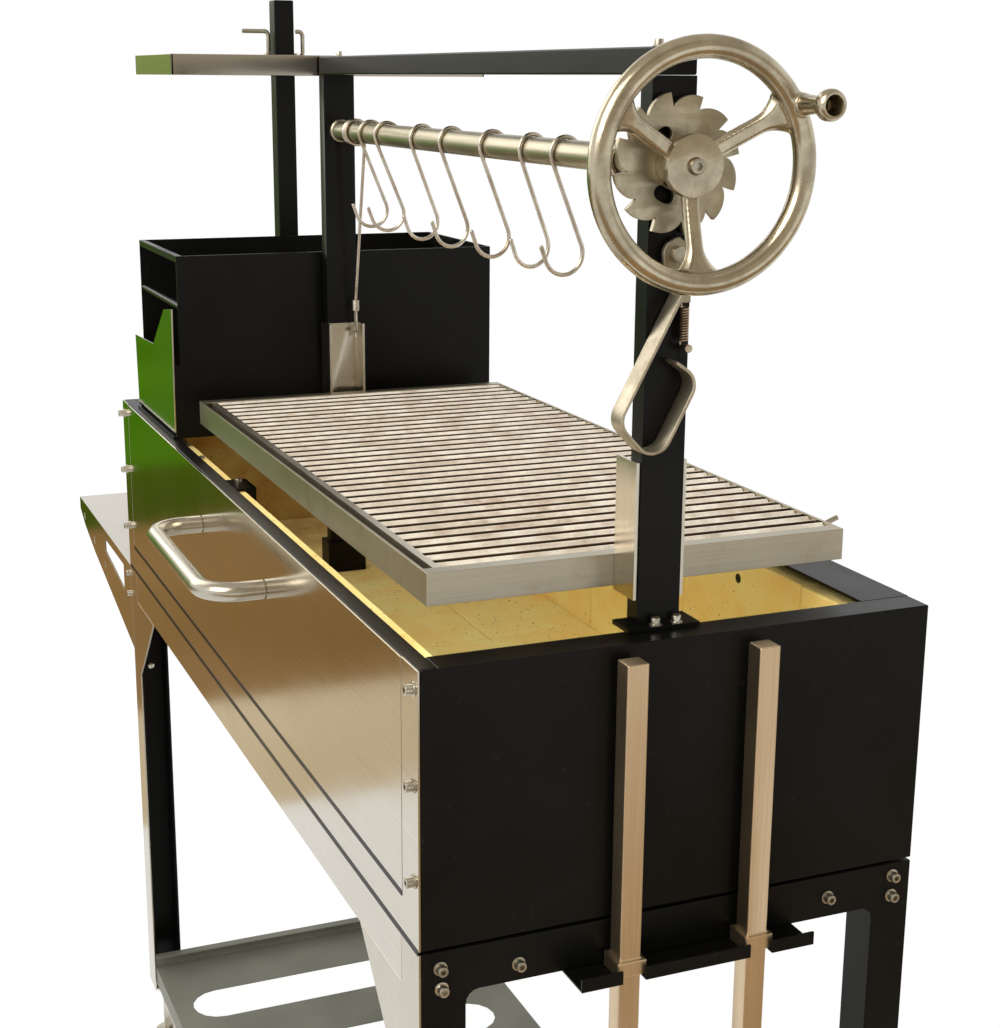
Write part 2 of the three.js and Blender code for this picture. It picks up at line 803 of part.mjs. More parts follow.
// Posts, beam and the third post that carries the warming rack
function makePosts() {
  const widths = [postFrontY, postRearY];
  const plateY = [postFrontY - postPlateSpread, postRearY + postPlateSpread];
  const plateZ = [seat, seat + postPlateThickness];
  const through = (y, z, radius) => rod('x', [y, z], radius, rightPostInnerX - cutOverrun, rightPostOuterX + cutOverrun);
  const blind = (y, z, radius) => (
    rod('x', [y, z], radius, rightPostOuterX - boltInPost - seat, rightPostOuterX + cutOverrun, tubeSides)
  );
  const right = join(
    box([rightPostInnerX, rightPostOuterX], widths, [liningTop + seat, postTop]),
    box([rightPostInnerX, rightPostOuterX + postPlateReach], plateY, plateZ),
  );
  piece('right_post', cut(
    right,
    through(postCentreY, shaftZ, shaftRadius + shaftBoreClearance),
    blind(pawlY, pawlZ, pivotBoltRadius + seat),
    blind(springY, springScrewZ, springScrewRadius + seat),
  ), blackSteel);
  const socketX = [leftPostOuterX - socketSpread, leftPostInnerX + socketSpread];
  const socketY = [postFrontY - socketSpread, postRearY + socketSpread];
  const left = join(
    box([leftPostOuterX, leftPostInnerX], widths, [floorTop + seat, postTop]),
    box(socketX, socketY, [floorTop + seat, floorTop + socketHeight]),
  );
  const boreDepth = leftPostInnerX - shaftStubLength - seat;
  const bore = rod('x', [postCentreY, shaftZ], shaftStubRadius + seat, boreDepth, leftPostInnerX + cutOverrun);
  piece('left_post', cut(left, bore), blackSteel);
  const half = braseroPostSize / 2;
  const [x0, x1] = [braseroPostX - half, braseroPostX + half];
  const [y0, y1] = [braseroPostY - half, braseroPostY + half];
  piece('brasero_post', join(
    box([x0, x1], [y0, y1], [seat, braseroPostTop]),
    box([x0 - braseroPostPlateReach, x1], [y0 - postPlateSpread, y1 + postPlateSpread], plateZ),
  ), blackSteel);
  const beamBottom = postTop + seat;
  piece('cross_beam', box([leftPostOuterX, rightPostOuterX], widths, [beamBottom, postTop + beamHeight]), blackSteel);
}

// Winch: pieces that turn with the shaft, laid out about its axis
function makeShaft() {
  const bossLeft = leftPostInnerX + seat;
  const bossRight = leftPostInnerX + shaftBossLength;
  const holeRadius = hubScrewRadius + hubScrewClearance;
  const holeEnd = hubFaceX - hubWall - hubScrewDepth;
  const profile = [
    [leftPostInnerX - shaftStubLength, 0], [leftPostInnerX - shaftStubLength, shaftStubRadius],
    [bossLeft, shaftStubRadius], [bossLeft, shaftBossRadius],
    [bossRight, shaftBossRadius], [bossRight, shaftRadius],
    [shaftRightEnd, shaftRadius], [shaftRightEnd, holeRadius], [holeEnd, holeRadius], [holeEnd, 0],
  ];
  piece('winch_shaft', turned(profile), stainless, winch);
}

function makeRatchet() {
  const toothShares = [[0, 1], [0.3, 0.97], [0.6, 0.8], [0.85, 0.4], [0.95, 0]];
  const outline = [];
  for (let tooth = 0; tooth < ratchetTeeth; tooth += 1) {
    for (const [along, up] of toothShares) {
      const angle = ratchetFirstTip + ((tooth + along) / ratchetTeeth) * 2 * Math.PI;
      const radius = ratchetRoot + up * (ratchetRadius - ratchetRoot);
      outline.push([radius * Math.cos(angle), radius * Math.sin(angle)]);
    }
  }
  const kidney = (middle) => {
    const [inner, outer] = [kidneyRadius - kidneyHalfWidth, kidneyRadius + kidneyHalfWidth];
    const steps = Array.from({ length: cornerSteps + 1 }, (_, i) => (i / cornerSteps) * 2 - 1);
    const arc = (radius, way) => steps.map((share) => {
      const angle = middle + way * share * kidneyHalfAngle;
      return [radius * Math.cos(angle), radius * Math.sin(angle)];
    });
    return [...arc(outer, 1), ...arc(inner, -1)];
  };
  const holes = [circle(0, 0, shaftRadius + seat), ...kidneyAngles.map(kidney)];
  piece('ratchet_wheel', prism('x', outline, ratchetInnerX, ratchetOuterX, holes), castSteel, winch);
}

function makeHandwheel() {
  const bore = shaftRadius + seat;
  const boreEnd = hubFaceX - hubWall;
  const screwBore = hubScrewRadius + hubScrewClearance;
  const hubBack = hubFaceX - hubDiscThickness;
  const hub = turned([
    [ratchetOuterX + seat, bore], [ratchetOuterX + seat, hubBossRadius], [hubBack, hubBossRadius],
    [hubBack, hubRadius], [hubFaceX, hubRadius], [hubFaceX, screwBore], [boreEnd, screwBore],
    [boreEnd, bore], [ratchetOuterX + seat, bore],
  ]);
  const rimRadius = wheelRadius - wheelTubeRadius;
  const rimProfile = circle(wheelPlaneX, rimRadius, wheelTubeRadius, tubeSides);
  const rim = turned([...rimProfile, rimProfile[0]], 2 * roundSides);
  const reachShares = [0.2, 0.5, 0.7, 0.82, 0.92, 1];
  const halfWidthShares = [0.1, 0.07, 0.08, 0.14, 0.27, 0.27];
  const upper = reachShares.map((share, i) => [share * rimRadius, halfWidthShares[i] * rimRadius]);
  const lower = upper.map(([reach, half]) => [reach, -half]).reverse();
  const lean = (wheelPlaneX - spokeRootX) / rimRadius;
  const spoke = (angle) => {
    const flat = prism('x', [...upper, ...lower], spokeRootX - spokeThickness / 2, spokeRootX + spokeThickness / 2);
    const shear = new THREE.Matrix4().set(1, lean, 0, 0, 0, 1, 0, 0, 0, 0, 1, 0, 0, 0, 0, 1);
    return flat.applyMatrix4(shear).rotateX(angle);
  };
  const crank = [crankRadius * Math.cos(crankAngle), crankRadius * Math.sin(crankAngle)];
  const wheel = join(
    hub,
    rim,
    ...spokeAngles.map(spoke),
    rod('x', crank, crankBossRadius, wheelPlaneX, crankBossEndX, tubeSides),
    rod('x', crank, crankPinRadius, wheelPlaneX, crankPinEndX + lap, tubeSides),
    rod('x', crank, crankHeadRadius, crankPinEndX, crankPinEndX + crankHeadThickness, tubeSides),
  );
  const shaftSpace = rod('x', [0, 0], bore, ratchetOuterX, boreEnd);
  piece('handwheel', cut(wheel, shaftSpace), castSteel, winch);
  const gripBore = crankPinRadius + gripRunning;
  const gripStart = crankBossEndX + seat;
  const mouthX = crankPinEndX - seat;
  const grip = turned([
    [gripStart, gripBore], [gripStart, gripRootRadius], [gripWaistX, gripWaistRadius],
    [gripFlareX, gripMouthRadius], [crankPinEndX, gripEndRadius], [gripEndX, gripEndRadius],
    [gripEndX, gripMouthRadius], [mouthX, gripMouthRadius], [mouthX, gripBore], [gripStart, gripBore],
  ]);
  piece('crank_grip', grip, castSteel, winch).position.set(0, ...crank);
}

function makeHubScrew() {
  const headFrom = hubFaceX + seat;
  const headTo = headFrom + hubScrewHeadHeight;
  const tip = headFrom - hubWall - hubScrewDepth + hubScrewRadius;
  const screw = join(
    rod('x', [0, 0], hubScrewHeadRadius, headFrom, headTo),
    rod('x', [0, 0], hubScrewRadius, tip, headFrom + lap, tubeSides),
  );
  const socket = rod('x', [0, 0], hexSocketRadius, headTo - hexSocketDepth, headTo + cutOverrun, wireSides);
  piece('hub_screw', cut(screw, socket), zincSteel, winch);
}

// Pawl: a plate in the plane of the ratchet with a flat bar bent into a trigger loop
function makePawl() {
  const at = (u, v) => [pawlY + u, pawlZ + v];
  const plateX = [ratchetInnerX, ratchetOuterX];
  const nose = [at(pawlNoseFront, pawlNoseFrontZ), at(pawlNoseRear, pawlNoseRearZ), at(pawlNoseY, pawlNoseZ)];
  const tail = [
    at(-pawlNeck, 0), at(pawlNeck, 0), at(pawlTailRear, pawlTailKneeZ), at(pawlTailRear, pawlTailBottom),
    at(pawlNeck / 2, pawlTailBottom), at(pawlTailFront, pawlTailKneeZ),
  ];
  const corners = [leverStart, leverKnee, leverHeel, leverToe, leverShoulder, leverTip];
  const route = bend(corners.map(([y, z]) => point(leverX, postCentreY + y, z)), leverBend);
  const body = join(
    rod('x', [pawlY, pawlZ], pawlEyeRadius, ...plateX),
    prism('x', nose, ...plateX),
    prism('x', tail, ...plateX),
    tube(route, flatSection(leverWidth, leverThickness)),
  );
  const eye = rod('x', [pawlY, pawlZ], pivotBoltRadius + pivotBoltRunning, leverX - leverWidth, leverX + leverWidth);
  piece('pawl_lever', cut(body, eye), stainless);
  const headFrom = ratchetOuterX + seat;
  piece('pawl_pivot_bolt', join(
    rod('x', [pawlY, pawlZ], pivotBoltRadius, rightPostOuterX - boltInPost, headFrom + lap, tubeSides),
    rod('x', [pawlY, pawlZ], pivotSpacerRadius, rightPostOuterX + seat, ratchetInnerX - seat, tubeSides),
    rod('x', [pawlY, pawlZ], pivotBoltHeadRadius, headFrom, headFrom + pivotBoltHeadHeight),
  ), zincSteel);
  piece('spring_screw', join(
    rod('x', [springY, springScrewZ], springScrewRadius, rightPostOuterX - boltInPost, springScrewHeadX + lap,
      tubeSides),
    rod('x', [springY, springScrewZ], springScrewHeadRadius, springScrewHeadX,
      springScrewHeadX + springScrewHeadHeight, tubeSides),
  ), zincSteel);
}

function makeSpring() {
  const bottom = springScrewZ + springScrewRadius + seat;
  const top = pawlZ + pawlTailBottom - seat;
  const stub = 2 * springWireRadius;
  const height = top - bottom - 2 * stub;
  const stations = [point(pawlPlateX, springY - springCoilRadius, bottom)];
  for (let step = 0; step <= springCurls * springSteps; step += 1) {
    const angle = (step / springSteps) * 2 * Math.PI;
    const z = bottom + stub + (height * step) / (springCurls * springSteps);
    stations.push(point(
      pawlPlateX + springCoilRadius * Math.sin(angle),
      springY - springCoilRadius * Math.cos(angle),
      z,
    ));
  }
  stations.push(point(pawlPlateX, springY - springCoilRadius, top));
  reportGap('pawl_spring', leastGap(stations, springSteps, springWireRadius));
  piece('pawl_spring', tube(stations, roundSection(springWireRadius, springSides)), springSteel);
}

// Grate: a frame with a gutter along the front, V-bars, and a guide round each post
function makeGrateFrame() {
  const across = [grateLeftX, grateRightX];
  const depths = [grateFrontY, grateRearY];
  const full = [0, grateHeight];
  const flangeZ = [grateHeight - gutterWall, grateHeight];
  const ledgeTop = barApex - seat;
  const gutterBack = grateFrontY + gutterWidth;
  const rightWall = box([grateRightX - sheet, grateRightX], depths, full);
  const rightFlange = box([grateRightX - grateEndFlange, grateRightX], depths, flangeZ);
  const liftRod = tube([
    point(liftRodX, grateRearY - sheet / 2, grateHeight - liftRodDrop),
    point(liftRodX, grateRearY + liftRodReach, grateHeight - liftRodDrop + liftRodRise),
  ], roundSection(liftRodRadius, tubeSides));
  piece('grate_frame', join(
    box(across, [grateFrontY, grateFrontY + sheet], full),
    box(across, [grateFrontY, gutterBack], [0, gutterWall]),
    box(across, [gutterBack - gutterWall, gutterBack], [0, ledgeTop]),
    box(across, [grateRearY - sheet, grateRearY], full),
    box(across, [grateRearY - grateLedge, grateRearY], [ledgeTop - gutterWall, ledgeTop]),
    rightWall,
    rightFlange,
    mirrored(rightWall, postMiddleX),
    mirrored(rightFlange, postMiddleX),
    liftRod,
  ), stainless, grate);
}

function makeGrateBars() {
  const half = barWidth / 2;
  const top = barApex + barDepth;
  const outline = (x) => [
    [x - half, top], [x - half + barWall, top], [x, barApex + barWall], [x + half - barWall, top],
    [x + half, top], [x + barWall / 2, barApex], [x - barWall / 2, barApex],
  ];
  const first = grateRightX - grateEndFlange - seat - half;
  const last = grateLeftX + grateEndFlange + seat + half;
  const pitch = (first - last) / (barCount - 1);
  const frontEnd = grateFrontY + gutterWidth - barOverGutter;
  const rearEnd = grateRearY - sheet - seat;
  const bars = Array.from({ length: barCount }, (_, i) => prism('y', outline(first - i * pitch), frontEnd, rearEnd));
  const railZ = [barApex + barRailLap - barRailHeight, barApex + barRailLap];
  const rails = barRailShares.map((share) => {
    const y = grateFrontY + share * (grateRearY - grateFrontY);
    return box([last - half, first + half], [y - barRailWidth / 2, y + barRailWidth / 2], railZ);
  });
  piece('grate_bars', join(...rails, ...bars), stainless, grate);
}

function makeGuides() {
  const web = rightPostInnerX - guideRunning;
  const innerEnd = grateRightX + seat;
  const outerEnd = rightPostInnerX + guidePostCover;
  const heights = [guideBottom - grateBottom, guideTop - grateBottom];
  const innerY = postWidth / 2 + guideRunning;
  const cheek = (way) => {
    const faces = [postCentreY + way * innerY, postCentreY + way * (innerY + guideWall)];
    return box([innerEnd, outerEnd], [Math.min(...faces), Math.max(...faces)], heights);
  };
  const ferruleX = rightPostInnerX - ferruleInset;
  const ferruleY = postCentreY + ferruleOffsetY;
  const lug = box(
    [web - guideWall - lugReach, web],
    [ferruleY - lugThickness / 2, ferruleY + lugThickness / 2],
    [thimbleBottom - grateBottom - lugHeight / 2, thimbleBottom - grateBottom + lugHeight / 2],
  );
  const thimble = bend([
    point(ferruleX - thimbleHalfWidth / 2, ferruleY, ferruleBottom - grateBottom + thimbleHalfWidth),
    point(ferruleX - thimbleHalfWidth, ferruleY, thimbleBottom - grateBottom),
    point(ferruleX + thimbleHalfWidth, ferruleY, thimbleBottom - grateBottom),
    point(ferruleX + thimbleHalfWidth / 2, ferruleY, ferruleBottom - grateBottom + thimbleHalfWidth),
  ], thimbleHalfWidth / 2);
  const right = join(
    box([web - guideWall, web], [postCentreY - innerY - guideWall, postCentreY + innerY + guideWall], heights),
    cheek(-1),
    cheek(1),
    lug,
    tube(thimble, roundSection(thimbleWireRadius, wireSides)),
    rod('z', [ferruleX, ferruleY], ferruleRadius, ferruleBottom - grateBottom, ferruleTop - grateBottom, tubeSides),
  );
  piece('right_guide', right, stainless, grate);
  piece('left_guide', mirrored(right, postMiddleX), stainless, grate);
}

// Cables: each hangs from its winding on the shaft down to the ferrule of its guide
function makeCables() {
  const dropX = rightPostInnerX - windingInset;
  const foot = point(
    rightPostInnerX - ferruleInset,
    postCentreY + ferruleOffsetY,
    ferruleTop + seat,
  );
  const leave = point(dropX, drumY, shaftZ);
  const down = foot.clone().sub(leave).normalize();
  const stubEnd = leave.clone().addScaledVector(down, 2 * cableRadius);
  const top = stubEnd.clone().addScaledVector(down, seat);
  const cable = tube([top, foot], roundSection(cableRadius, wireSides));
  piece('right_cable', cable, stainless);
  piece('left_cable', mirrored(cable, postMiddleX), stainless);
  const stations = [];
  for (let step = windingTurns * windingSteps; step >= 0; step -= 1) {
    const angle = (step / windingSteps) * 2 * Math.PI;
    stations.push(point(
      dropX - (windingPitch * step) / windingSteps,
      drumRadius * Math.cos(angle),
      drumRadius * Math.sin(angle),
    ));
  }
  const tail = stations[0].clone().add(point(0, 0, 2 * cableRadius));
  const coil = [tail, ...stations, stubEnd.clone().sub(point(0, postCentreY, shaftZ))];
  reportGap('windings', leastGap(coil, windingSteps, cableRadius));
  const winding = tube(coil, roundSection(cableRadius, wireSides));
  piece('right_winding', winding, stainless, winch);
  piece('left_winding', mirrored(winding, postMiddleX), stainless, winch);
}

// S-hooks: an upper loop round the shaft, a shank that crosses under it and a wide lower loop
// that ends in a short straight tip
function makeHooks() {
  const reach = Math.hypot(hookLowerY, hookLowerZ);
  const centreLine = Math.atan2(hookLowerZ, hookLowerY);
  const shank = centreLine + Math.asin((hookLoopRadius + hookLowerRadius) / reach);
  const arc = (cy, cz, radius, from, to) => {
    const steps = Math.ceil(Math.abs(to - from) / ((2 * Math.PI) / tubeSides));
    return Array.from({ length: steps + 1 }, (_, i) => {
      const angle = from + ((to - from) * i) / steps;
      return point(0, cy + radius * Math.cos(angle), cz + radius * Math.sin(angle));
    });
  };
  const upper = arc(0, 0, hookLoopRadius, hookUpperTip, shank - Math.PI / 2 + 2 * Math.PI);
  const lower = arc(hookLowerY, hookLowerZ, hookLowerRadius, shank + Math.PI / 2, hookLowerTip);
  const tip = new THREE.Vector3(0, Math.sin(hookLowerTip), -Math.cos(hookLowerTip))
    .multiplyScalar(hookTipLength)
    .add(lower.at(-1));
  const hook = tube([...upper, ...lower, tip], roundSection(hookWireRadius, wireSides));
  hookPlaces.forEach((x, i) => {
    piece(`s_hook_${i + 1}`, hook, stainless).position.set(x, postCentreY, shaftZ);
  });
}

// Brasero: an open-fronted basket of black sheet with a stainless front plate and a floor grid
function makeBrasero() {
  const across = [braseroLeftX, braseroRightX];
  const full = [seat, braseroTop];
  const baseZ = [seat, seat + sheet];
  const lugZ = [seat, plateLeftZ - plateBottomZ];
  const lugY = [braseroPlateBack + seat, braseroFrontY];
  const base = box(across, [braseroLipY, braseroRearY], baseZ);
  const mouth = box(
    [braseroLeftX + braseroBaseRim, braseroRightX - braseroBaseRim],
    [braseroFrontY + braseroBaseRim, braseroRearY - braseroBaseRim],
    [-cutOverrun, seat + sheet + cutOverrun],
  );
  const front = [braseroFrontY, braseroFrontY + braseroTopBar];
  piece('brasero_body', join(
    cut(base, mouth),
    box([braseroLeftX, braseroLeftX + sheet], [braseroFrontY, braseroRearY], full),
    box([braseroRightX - sheet, braseroRightX], [braseroFrontY, braseroRearY], full),
    box(across, [braseroRearY - sheet, braseroRearY], full),
    box(across, front, [braseroTop - braseroTopBar, braseroTop]),
    rod('x', [braseroFrontY + braseroRodRadius, braseroRodZ], braseroRodRadius, ...across, tubeSides),
    box([braseroLeftX, braseroLeftX + sheet], [lugY[0], lugY[1] + sheet], lugZ),
    box([braseroRightX - sheet, braseroRightX], [lugY[0], lugY[1] + sheet], lugZ),
  ), blackSteel);
  const outline = [
    [plateLowRightX, plateBottomZ], [plateRightX, plateRightZ], [plateRiseX, plateRiseZ],
    [plateKneeX, plateKneeZ], [plateLeftX, plateLeftZ], [plateLowLeftX, plateBottomZ],
  ];
  piece('brasero_front_plate', prism('y', outline, braseroPlateBack - thinSheet, braseroPlateBack), stainless);
  const gridZ = [seat + sheet + seat, seat + sheet + seat + gridThickness];
  const railEdge = sheet + gridRailWidth + seat;
  const gridY = [braseroFrontY + sheet, braseroRearY - 2 * sheet];
  const gridX = [braseroLeftX + sheet + seat, braseroRightX - sheet - seat];
  const pitch = (gridY[1] - gridY[0] - gridBarWidth) / (gridBarCount - 1);
  const bars = Array.from({ length: gridBarCount }, (_, i) => {
    const y = gridY[0] + i * pitch;
    return box(gridX, [y, y + gridBarWidth], gridZ);
  });
  piece('brasero_grid', join(
    box([gridX[0], braseroLeftX + railEdge], gridY, gridZ),
    box([braseroRightX - railEdge, gridX[1]], gridY, gridZ),
    ...bars,
  ), blackSteel);
}

// Warming rack on a sleeve round the third post, and the bent rod above it
function makeWarmingRack() {
  const across = [rackLeftX, rackRightX];
  const depths = [rackFrontY, rackRearY];
  const heights = [rackBottom, rackTop];
  const inner = braseroPostSize / 2 + sleeveClearance;
  const outer = inner + sleeveWall;
  const around = (x, y, reach, z) => (
    box([braseroPostX - x, braseroPostX + reach], [braseroPostY - y, braseroPostY + y], z)
  );
  const armY = [braseroPostY - armWidth / 2, braseroPostY + armWidth / 2];
  const pitch = (rackRearY - rackFrontY) / (rackBarCount + 1);
  const bars = Array.from({ length: rackBarCount }, (_, i) => (
    rod('x', [rackFrontY + (i + 1) * pitch, rackTop - rackBarDrop], rackBarRadius,
      rackLeftX + sheet / 2, rackRightX - sheet / 2, wireSides)
  ));
  const solid = join(
    box([rackLeftX, rackLeftX + sheet], depths, heights),
    box([rackRightX - sheet, rackRightX], depths, heights),
    box(across, [rackFrontY, rackFrontY + sheet], heights),
    box(across, [rackRearY - sheet, rackRearY], heights),
    around(outer, outer, outer, heights),
    around(outer + collarReach, outer + collarSpread, outer + sleeveWall, [rackTop - sheet, rackTop]),
    box([braseroPostX + inner, rackLeftX + sheet / 2], armY, heights),
    ...bars,
  );
  const opening = around(inner, inner, inner, [rackBottom - cutOverrun, rackTop + cutOverrun]);
  piece('upper_rack', cut(solid, opening), stainless);
  const low = rackTop + seat + catchRodRadius;
  const frontY = braseroPostY + catchFrontOffset;
  const rearY = braseroPostY + catchRearOffset;
  const route = bend([
    point(braseroPostX, braseroPostY + catchTipOffset, catchTopZ),
    point(braseroPostX, frontY, catchTopZ),
    point(braseroPostX, frontY, low),
    point(catchSideX, frontY, low),
    point(catchSideX, rearY, low),
    point(braseroPostX, rearY, low),
    point(braseroPostX, rearY, catchTopZ),
    point(braseroPostX, rearY - catchHook, catchTopZ),
  ], catchRodBend);
  piece('catch_rod', tube(route, roundSection(catchRodRadius, wireSides)), stainless);
}

// Side shelf: a folded tray that hangs by two keyhole slots on the pegs of the left end frame
function makeSideShelf() {
  const near = leftX - seat;
  const far = near - sideShelfLength;
  const depths = [0, sideShelfDepth];
  const skin = [shelfDeckZ - thinSheet, shelfDeckZ];
  const knees = bracketKneePlaces.map((place, i) => [leftX - place, shelfDeckZ - bracketKneeDepths[i]]);
  const outline = [
    [near, shelfDeckZ], [near, shelfDeckZ - bracketDepth], ...knees,
    [far, shelfDeckZ - shelfEndHem], [far, shelfDeckZ],
  ];
  const holes = bracketKneePlaces.map((place, i) => (
    circle(leftX - place, shelfDeckZ - bracketHoleDrops[i], bracketHoleRadius, tubeSides)
  ));
  const window = [
    [leftX - windowNear, shelfDeckZ - windowTopDrop], [leftX - windowFar, shelfDeckZ - windowTopDrop],
    [leftX - windowFar, shelfDeckZ - windowFarDrop], [leftX - windowNear, shelfDeckZ - windowNearDrop],
  ];
  const front = prism('y', outline, 0, thinSheet, [...holes, window]);
  const hookPlate = box([near - thinSheet, near], depths, [shelfDeckZ - hookPlateDepth, shelfDeckZ]);
  const solid = join(
    box([far, near], depths, skin),
    front,
    front.clone().translate(0, sideShelfDepth - thinSheet, 0),
    box([far, far + thinSheet], depths, [shelfDeckZ - shelfEndHem, shelfDeckZ]),
    hookPlate,
  );
  const pegZ = cartTop - pegDrop;
  const slotHalf = pegRadius + pegSlack;
  const slots = [pegInset, sideShelfDepth - pegInset].map((y) => (
    box([near - thinSheet - cutOverrun, near + cutOverrun], [y - slotHalf, y + slotHalf],
      [shelfDeckZ - hookPlateDepth - cutOverrun, pegZ + pegRadius + seat])
  ));
  piece('side_shelf', cut(solid, ...slots), stainless);
}

// Rack under the right end frame, and the two square bars whose collars rest on it
function makeToolRack() {
  const top = railBottom - seat;
  const bottom = top - toolRackThickness;
  const depths = [postCentreY + toolRackFrontOffset, postCentreY + toolRackRearOffset];
  const tray = join(
    box([-toolRackInset, toolRackReach], depths, [bottom, top]),
    box([toolRackReach - toolRackThickness, toolRackReach], depths, [bottom, top + toolRackLip]),
  );
  const half = hangBarSize / 2;
  const notches = hangBarCentres.map((y) => (
    box([hangBarInnerX - notchClearance, toolRackReach + cutOverrun],
      [y - half - notchClearance, y + half + notchClearance], [bottom - cutOverrun, top + toolRackLip + cutOverrun])
  ));
  piece('tool_rack', cut(tray, ...notches), blackSteel);
  const names = ['bar_front', 'bar_rear'];
  const collarBottom = top + seat;
  hangBarCentres.forEach((y, i) => {
    const middle = hangBarInnerX + half;
    const spread = half + hangCollarSpread;
    piece(names[i], join(
      box([middle - half, middle + half], [y - half, y + half], [hangBarBottom, hangBarTop]),
      box([middle - spread, middle + spread], [y - spread, y + spread],
        [collarBottom, collarBottom + hangCollarHeight]),
    ), stainless);
  });
}

makeEndPanels();
makeRearPanel();
makeFrontRail();
makeFrontSurround();
makeLining();
makeDoor();
makeEndFrames();
makeAprons();
makeLegFacings();
makeLowerShelf();
makeFeet();
makePosts();
makeShaft();
makeRatchet();
makeHandwheel();
makeHubScrew();
makePawl();
makeSpring();
makeGrateFrame();
makeGrateBars();
makeGuides();
makeCables();
makeHooks();
makeBrasero();
makeWarmingRack();
makeSideShelf();
makeToolRack();

// The origin: on the floor, under the middle of everything
const shelfEnd = leftX - seat - sideShelfLength;
const frontmost = -handleReach - handleRadius;
const middleX = (shelfEnd + gripEndX) / 2;
const middleY = (frontmost + fireboxDepth) / 2;
grill.position.set(-middleX, -middleY, workingHeight);

export default grill;
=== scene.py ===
# %% [markdown]
# An Argentine grill: a brick-lined firebox on a cart, with a grate that a handwheel and two steel
# ropes raise and lower. The CAD part is loaded as a fixed frame and gives every place and size.
# This script gives each piece its finish: eased edges on folded sheet, smooth round wire and tube,
# bricks with joints between them, screws, and a material worked out for each metal.

# %% The tools and the fixed frame
import json
import math

import bmesh
import bpy
import numpy as np
from mathutils import Matrix, Vector

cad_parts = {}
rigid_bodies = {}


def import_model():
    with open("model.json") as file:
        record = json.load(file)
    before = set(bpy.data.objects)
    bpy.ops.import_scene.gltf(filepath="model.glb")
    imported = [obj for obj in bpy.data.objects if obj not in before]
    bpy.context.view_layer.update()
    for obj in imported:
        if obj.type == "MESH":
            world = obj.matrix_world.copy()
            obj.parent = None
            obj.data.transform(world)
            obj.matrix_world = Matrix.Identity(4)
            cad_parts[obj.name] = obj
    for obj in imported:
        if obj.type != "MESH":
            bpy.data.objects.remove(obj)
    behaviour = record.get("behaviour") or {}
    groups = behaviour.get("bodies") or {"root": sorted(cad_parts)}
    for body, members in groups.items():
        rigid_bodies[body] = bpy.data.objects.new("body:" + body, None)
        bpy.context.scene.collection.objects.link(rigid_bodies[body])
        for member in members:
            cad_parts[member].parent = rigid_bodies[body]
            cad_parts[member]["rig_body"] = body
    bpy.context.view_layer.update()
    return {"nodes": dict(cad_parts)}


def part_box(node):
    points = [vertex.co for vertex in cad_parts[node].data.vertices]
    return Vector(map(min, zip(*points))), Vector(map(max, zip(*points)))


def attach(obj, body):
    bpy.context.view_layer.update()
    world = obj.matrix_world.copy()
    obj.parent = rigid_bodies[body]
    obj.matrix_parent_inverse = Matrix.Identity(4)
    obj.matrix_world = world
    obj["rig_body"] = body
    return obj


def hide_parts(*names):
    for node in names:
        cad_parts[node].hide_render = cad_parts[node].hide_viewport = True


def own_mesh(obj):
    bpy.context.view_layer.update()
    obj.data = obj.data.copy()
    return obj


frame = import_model()
nodes = frame["nodes"]
print("the frame has", len(nodes), "nodes")

# %% [markdown]
# The real object is easiest to measure from one corner of the firebox: its rim, at the front, on
# the right. Sizes below are in millimetres from there, X to the left being negative, Y to the back
# and Z up, and one function turns such a place into metres in the frame.

# %% Places measured from the corner of the firebox
MM = 0.001
rim_corner = np.array([
    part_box("right_end_panel")[1].x,
    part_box("front_surround")[0].y,
    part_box("right_end_panel")[1].z,
])


def unit(vector):
    """The vector, or each vector of an array, divided by its length."""
    vector = np.asarray(vector, float)
    return vector / np.linalg.norm(vector, axis=-1, keepdims=True)


def at(*place):
    """A place, or an array of places, in millimetres from the corner, as metres in the frame."""
    return rim_corner + MM * np.array(place if len(place) > 1 else place[0], float)


X_AXIS, Y_AXIS, Z_AXIS = np.eye(3)
print("the corner is at", np.round(rim_corner, 4))

# %% [markdown]
# The camera comes first. The photograph was taken from the right of the grill, from above its rim,
# with the front running away to the left. The three directions of the camera were found from the
# edges of the firebox, whose sizes are known, and the lens from how fast those edges close in.

# %% The camera at the photograph's viewing angle
PHOTO_HEIGHT = 1028
FOCAL_PIXELS = 1705.5
SENSOR = 36
CAMERA_PLACE = (1203.6, -432.0, 455.1)
CAMERA_RIGHT = (0.38316, 0.92365, 0.00721)
CAMERA_UP = (-0.23094, 0.08823, 0.96896)
CAMERA_AHEAD = (-0.89435, 0.37293, -0.24712)

camera_data = bpy.data.cameras.new("photo_camera")
camera_data.sensor_width = SENSOR
camera_data.lens = FOCAL_PIXELS / PHOTO_HEIGHT * SENSOR
camera = bpy.data.objects.new("photo_camera", camera_data)
bpy.context.scene.collection.objects.link(camera)
turn = np.array([CAMERA_RIGHT, CAMERA_UP, -np.array(CAMERA_AHEAD)]).T
camera.matrix_world = Matrix.Translation(at(CAMERA_PLACE)) @ Matrix(turn.tolist()).to_4x4()
bpy.context.scene.camera = camera
print("lens", round(camera_data.lens, 2), "mm, camera at", np.round(at(CAMERA_PLACE), 3))

# %% [markdown]
# The photograph is cut out on white, but its steel still mirrors the yard it stood in: a pale
# floor near by, sand and brown earth further off, then moss, grass and a hedge, and a wooden deck
# on the other side. Flat metal shows little else than what it mirrors, so the set has the same
# bands, lying on the floor where only a mirrored ray can see them. What the camera sees is white,
# and the light on the object is plain.

